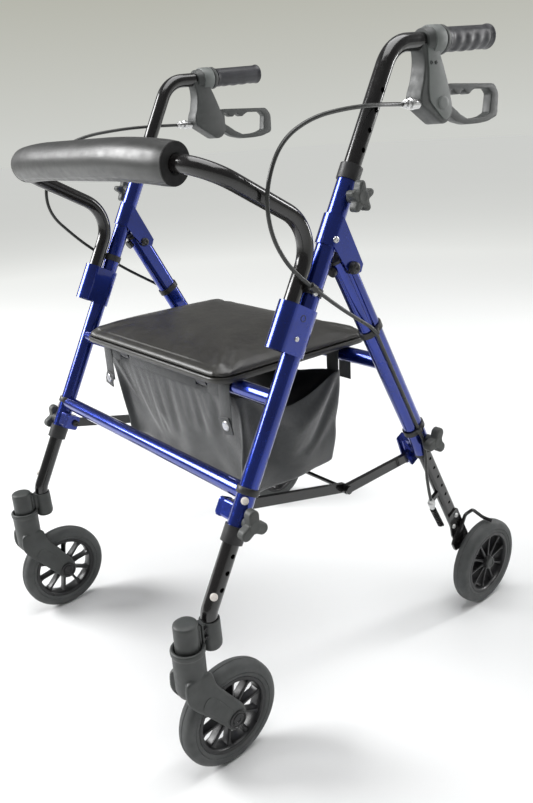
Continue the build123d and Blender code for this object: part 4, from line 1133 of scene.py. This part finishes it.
def brake_housings():
    """Waisted lever housing with a clamp round the grip tube and a lighter outer face."""
    shape = [
        (-44, 74), (-40, 62), (-39, 48), (-42, 30), (-48, 16), (-48, 2), (-32, -7), (-4, -22.6), (8, -20),
        (17, -10), (17, 2), (9, 27), (0, 48), (-8, 64), (-12, 76)
    ]
    half = 14 * MM
    body = plate("body", [around(LEVER_PIN, rounded(shape, 6))], SIDE_X - half, SIDE_X + half, 2.4 * MM)
    body_points = coordinates(body.data)
    down = np.clip((LEVER_PIN.z + 60 * MM - body_points[:, 2]) / (70 * MM), 0, 1)
    body_points[:, 0] = SIDE_X + (body_points[:, 0] - SIDE_X) * (0.80 + 0.22 * down)
    set_coordinates(body.data, body_points)
    tube_place = GRIP_START - grip_axis * 44 * MM
    clamp = [
        (0, 11.6), (0, 14.6), (1.5, 15.4), (8, 15.6), (9.5, 16.6), (34, 16.6), (35, 17.8), (39, 18.2),
        (41, 17.2), (42, 14.3), (44, 11.6)
    ]
    collar = lathe("collar", tube_place, grip_axis, clamp, 56)
    both_sides(
        joined("brake_housing_moulding", [body, collar]), "handle_{side}", "grey_plastic",
        "brake_housing_{side}"
    )
    band = [(11, 16.2), (11.6, 17.9), (13, 18.5), (31, 18.5), (32.4, 17.9), (33, 16.2)]
    both_sides(
        lathe("clamp_band", tube_place, grip_axis, band, 56), "handle_{side}", "grey_plastic",
        material=housing_face
    )
    face = [
        (-35, 78), (-34, 60), (-32, 40), (-33, 24), (-32, 8), (-24, 0), (-2, -17), (7, -16), (13, -8),
        (13, 2), (5, 28), (-4, 48), (-11, 66), (-13, 78)
    ]
    face_x = SIDE_X + half * 0.99
    cover = plate(
        "brake_housing_face", [around(LEVER_PIN, rounded(face, 7))], face_x - 2 * MM, face_x + 1.3 * MM,
        0.7 * MM
    )
    points = coordinates(cover.data)
    down = np.clip((LEVER_PIN.z + 60 * MM - points[:, 2]) / (70 * MM), 0, 1)
    points[:, 0] -= half * (0.20 - 0.22 * down)
    set_coordinates(cover.data, points)
    both_sides(cover, "handle_{side}", "grey_plastic", material=housing_face)
    boss_place = LEVER_PIN + Vector((half + 1.2 * MM, -5 * MM, 4 * MM))
    boss = lathe(
        "brake_housing_boss", boss_place, X_AXIS, [(-1, 11), (0.3, 11), (0.9, 10), (1.1, 7), (1.2, 0)], 48
    )
    boss_points = coordinates(boss.data)
    boss_points[:, 2] = boss_place.z + (boss_points[:, 2] - boss_place.z) * 0.74
    set_coordinates(boss.data, boss_points)
    both_sides(boss, "handle_{side}", "grey_plastic", material=housing_face)
    holes = []
    for y in (-28, -19):
        place = LEVER_PIN + Vector((half * 0.83 + 1.1 * MM, y * MM, 52 * MM))
        holes.append(
            lathe("hole", place, X_AXIS, [(-1, 2.3), (0.5, 2.3), (0.6, 1.7), (-0.4, 1.5), (-0.5, 0)], 24)
        )
    both_sides(
        joined("brake_housing_screws", holes), "handle_{side}", "knob_plastic",
        material=finishes["wheel_plastic"]
    )
    ferrule_place = LEVER_PIN + Vector((6, -77, 4)) * MM
    ferrule = [
        (0, 2.6), (0, 3.6), (1, 4.1), (6, 4.1), (6.5, 5.6), (11, 5.8), (12, 4.6), (14, 4.6), (14.5, 7),
        (20, 7.4), (21, 6.6), (30, 6.4)
    ]
    both_sides(
        lathe("cable_ferrule", ferrule_place, (0, 1, 0), ferrule, 24, 25), "handle_{side}", "bolt_steel"
    )


def brake_levers():
    """Loop lever with finger bumps under its top bar."""
    outer = [
        (-9, -4), (-3, -9), (16, -10), (36, -20), (60, -24.5), (88, -24), (110, -22), (133, -15), (133, 16),
        (122, 28), (17, 28), (1, 12), (-8, 5)
    ]
    inner = [
        (22, 21), (28, 20), (34, 15), (41, 14), (47, 19), (51, 20.5), (56, 16), (63, 14), (70, 18.5),
        (77, 21.5), (108, 21.5), (116, 15), (113, -10), (100, -14.5), (86, -16.5), (62, -17), (46, -11),
        (30, -2), (22, 2)
    ]
    shape = [around(LEVER_PIN, rounded(outer, 6)), around(LEVER_PIN, rounded(inner, 2.5))]
    half = 7 * MM
    lever = plate("brake_lever_loop", shape, LEVER_PIN.x - half, LEVER_PIN.x + half, 1.7 * MM)
    both_sides(lever, "lever_{side}", "grey_plastic", "brake_lever_{side}")


# ---- knobs and fasteners ----
def knob_outline(center, lobes, mean, depth, turn):
    """Round-lobed knob outline with hollows between the lobes."""
    outline = []
    for i in range(120):
        angle = 2 * pi * i / 120
        wave = cos(lobes * (angle - turn))
        radius = mean + depth * (abs(wave) ** 0.8 * (1 if wave > 0 else -1))
        outline.append((radius * cos(angle), radius * sin(angle)))
    return around(center, outline)


def clamp_knob(name, node, body, place, lobes, mean, depth, turn):
    low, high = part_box(node + "_left")
    tip, base = high.x, high.x - 13 * MM
    head = plate("head", [knob_outline(place, lobes, mean, depth, turn)], base, tip, 2.6 * MM, 4)
    middle = Vector((tip, place.y, place.z))
    dish = lathe("dish", middle, X_AXIS, [(-3, 9), (0.2, 8.6), (0.5, 7.6), (0.1, 5), (0, 0)], 40)
    neck_length = (tip - low.x) / MM
    neck = lathe(
        "neck", middle, -X_AXIS,
        [
            (10, 10), (15, 9), (17, 7.6), (neck_length - 2.8, 7.4), (neck_length - 2.6, 3.7),
            (neck_length, 3.7)
        ],
        32
    )
    knob = joined(name, [head, dish, neck])
    both_sides(knob, body, "knob_plastic", node + "_{side}")


def knobs():
    handle_knob = pin("handle_knob_turn_left")
    rear_knob = pin("rear_knob_turn_left")
    clamp_knob("star_knob", "handle_knob", "handle_knob_{side}", handle_knob, 5, 15.6, 4.2, radians(18))
    clamp_knob(
        "front_clamp_knob", "front_leg_knob", "front_knob_{side}", FRONT_KNOB, 3, 15.8, 6.4, radians(90)
    )
    clamp_knob("rear_clamp_knob", "rear_leg_knob", "rear_knob_{side}", rear_knob, 3, 15.8, 6.4, radians(70))


def cap_screw(name, place, axis, radius, height):
    profile = [(-1, radius), (height * 0.4, radius), (height * 0.8, radius * 0.86), (height, radius * 0.55),
               (height * 0.97, radius * 0.3), (height * 0.6, 0)]
    return lathe(name, place, axis, profile, 32)


def front_frame_fasteners():
    """Capped fold bolts, link pins, sleeve screws, rivets and the pale height buttons."""
    dark = finishes["dark_plastic"]
    bolt = joined("fold_bolt_caps", [
        cap_screw("outer", FOLD_PIN + X_AXIS * 15.2 * MM, X_AXIS, 8.2, 7.5),
        cap_screw("inner", FOLD_PIN - X_AXIS * 15.2 * MM, -X_AXIS, 7, 5),
    ])
    both_sides(bolt, "front_frame", "bolt_steel", "front_frame_fasteners", material=dark)
    link_pin = pin("front_link_fold")
    parts = []
    for x, way in ((228, 1), (212, -1)):
        place = Vector((x * MM, link_pin.y, link_pin.z))
        parts.append(cap_screw("nut", place, X_AXIS * way, 5.5, 3.5))
    parts.append(lathe("shank", Vector((212 * MM, link_pin.y, link_pin.z)), X_AXIS, [(0, 3), (16, 3)], 24))
    both_sides(joined("front_link_bolts", parts), "front_frame", "bolt_steel", material=dark)
    sleeve_face = LEG_R / MM + 2.55
    screws = [
        cap_screw("screw", front_point(356, -14, sleeve_face), X_AXIS, 3.2, 1.8),
        cap_screw("rivet", front_point(486, -2, 15.2), X_AXIS, 4.2, 2.0),
        cap_screw("clip_screw", front_point(416, -9, LEG_R / MM + 2.5), X_AXIS, 4.2, 3.2),
    ]
    both_sides(joined("bright_screws", screws), "front_frame", "bolt_steel")
    hole = [(-1, 4.2), (0.3, 4.2), (0.35, 3.4), (-0.6, 3.2), (-0.6, 0)]
    dark_screw = lathe("sleeve_screw", front_point(382, -14, sleeve_face), X_AXIS, hole, 32)
    both_sides(dark_screw, "front_frame", "bolt_steel", material=dark)
    outward = (X_AXIS * 0.75 - BACK_OF_LEG * 0.66).normalized()
    band = [(0, 12.75), (0, 14.4), (1, 15), (8, 15), (9, 14.4), (9, 12.75)]
    ring = lathe("leg_clamp_ring", front_point(156), UP_LEG, band, hollow=True)
    both_sides(ring, "front_frame", "dark_plastic")
    button_place = front_point(149) + outward * (LEG_R - 0.2 * MM)
    button = [(-1, 5.0), (1.2, 5.0), (2.0, 4.0), (2.3, 2), (2.4, 0)]
    both_sides(
        lathe("height_button", button_place, outward, button, 32), "front_frame", "bolt_steel", material=cream
    )
    low_place = front_point(24) + outward * 10.9 * MM
    both_sides(
        lathe("height_rivet", low_place, outward, button, 32), "front_extension_{side}", "bolt_steel",
        material=cream
    )


def rear_details():
    """Silver cable adjuster, wound return spring and bracket bolts on each rear extension."""
    near_end = rear_point(395, 27, 8)
    cable_end = rear_point(437, 34, 6)
    along = (cable_end - near_end).normalized()
    barrel = [
        (-2, 2.7), (-2, 3.6), (0, 4.4), (3.5, 4.4), (3.8, 5.9), (9.2, 5.9), (9.6, 4.5), (16.4, 4.4), (17, 3.4)
    ]
    both_sides(
        lathe("cable_adjuster", cable_end, along, barrel, 24, 25), "rear_extension_{side}", "bolt_steel"
    )
    spring_start = cable_end + along * 17 * MM
    spring_end = rear_point(500, 36, 6)
    axis, across, other = frame_of(spring_end - spring_start)
    length = (spring_end - spring_start).length
    turns, per_turn = 11, 14
    coil = []
    for i in range(turns * per_turn + 1):
        angle = 2 * pi * i / per_turn
        place = spring_start + axis * length * i / (turns * per_turn)
        coil.append(place + (across * cos(angle) + other * sin(angle)) * 4.4 * MM)
    both_sides(tube("return_spring", coil, 0.85 * MM, 8), "rear_extension_{side}", "black_paint")
    face = 6.6
    bolts = [
        cap_screw("bolt", rear_point(down, ahead, face), X_AXIS, 4, 2.6)
        for down, ahead in ((516, 0), (530, 14))
    ]
    both_sides(joined("bracket_bolts", bolts), "rear_extension_{side}", "bolt_steel")
    pivot = Vector((SIDE_X + 6 * MM, BRAKE_PIN.y, BRAKE_PIN.z))
    both_sides(cap_screw("brake_pivot_bolt", pivot, X_AXIS, 4.6, 3), "rear_extension_{side}", "bolt_steel")


seat_cushion()
backrest_roll()
hung_bag()
bag_hangers()
brake_cables()
wheels()
caster_forks()
caster_housings()
hand_grips()
brake_housings()
brake_levers()
knobs()
front_frame_fasteners()
rear_details()
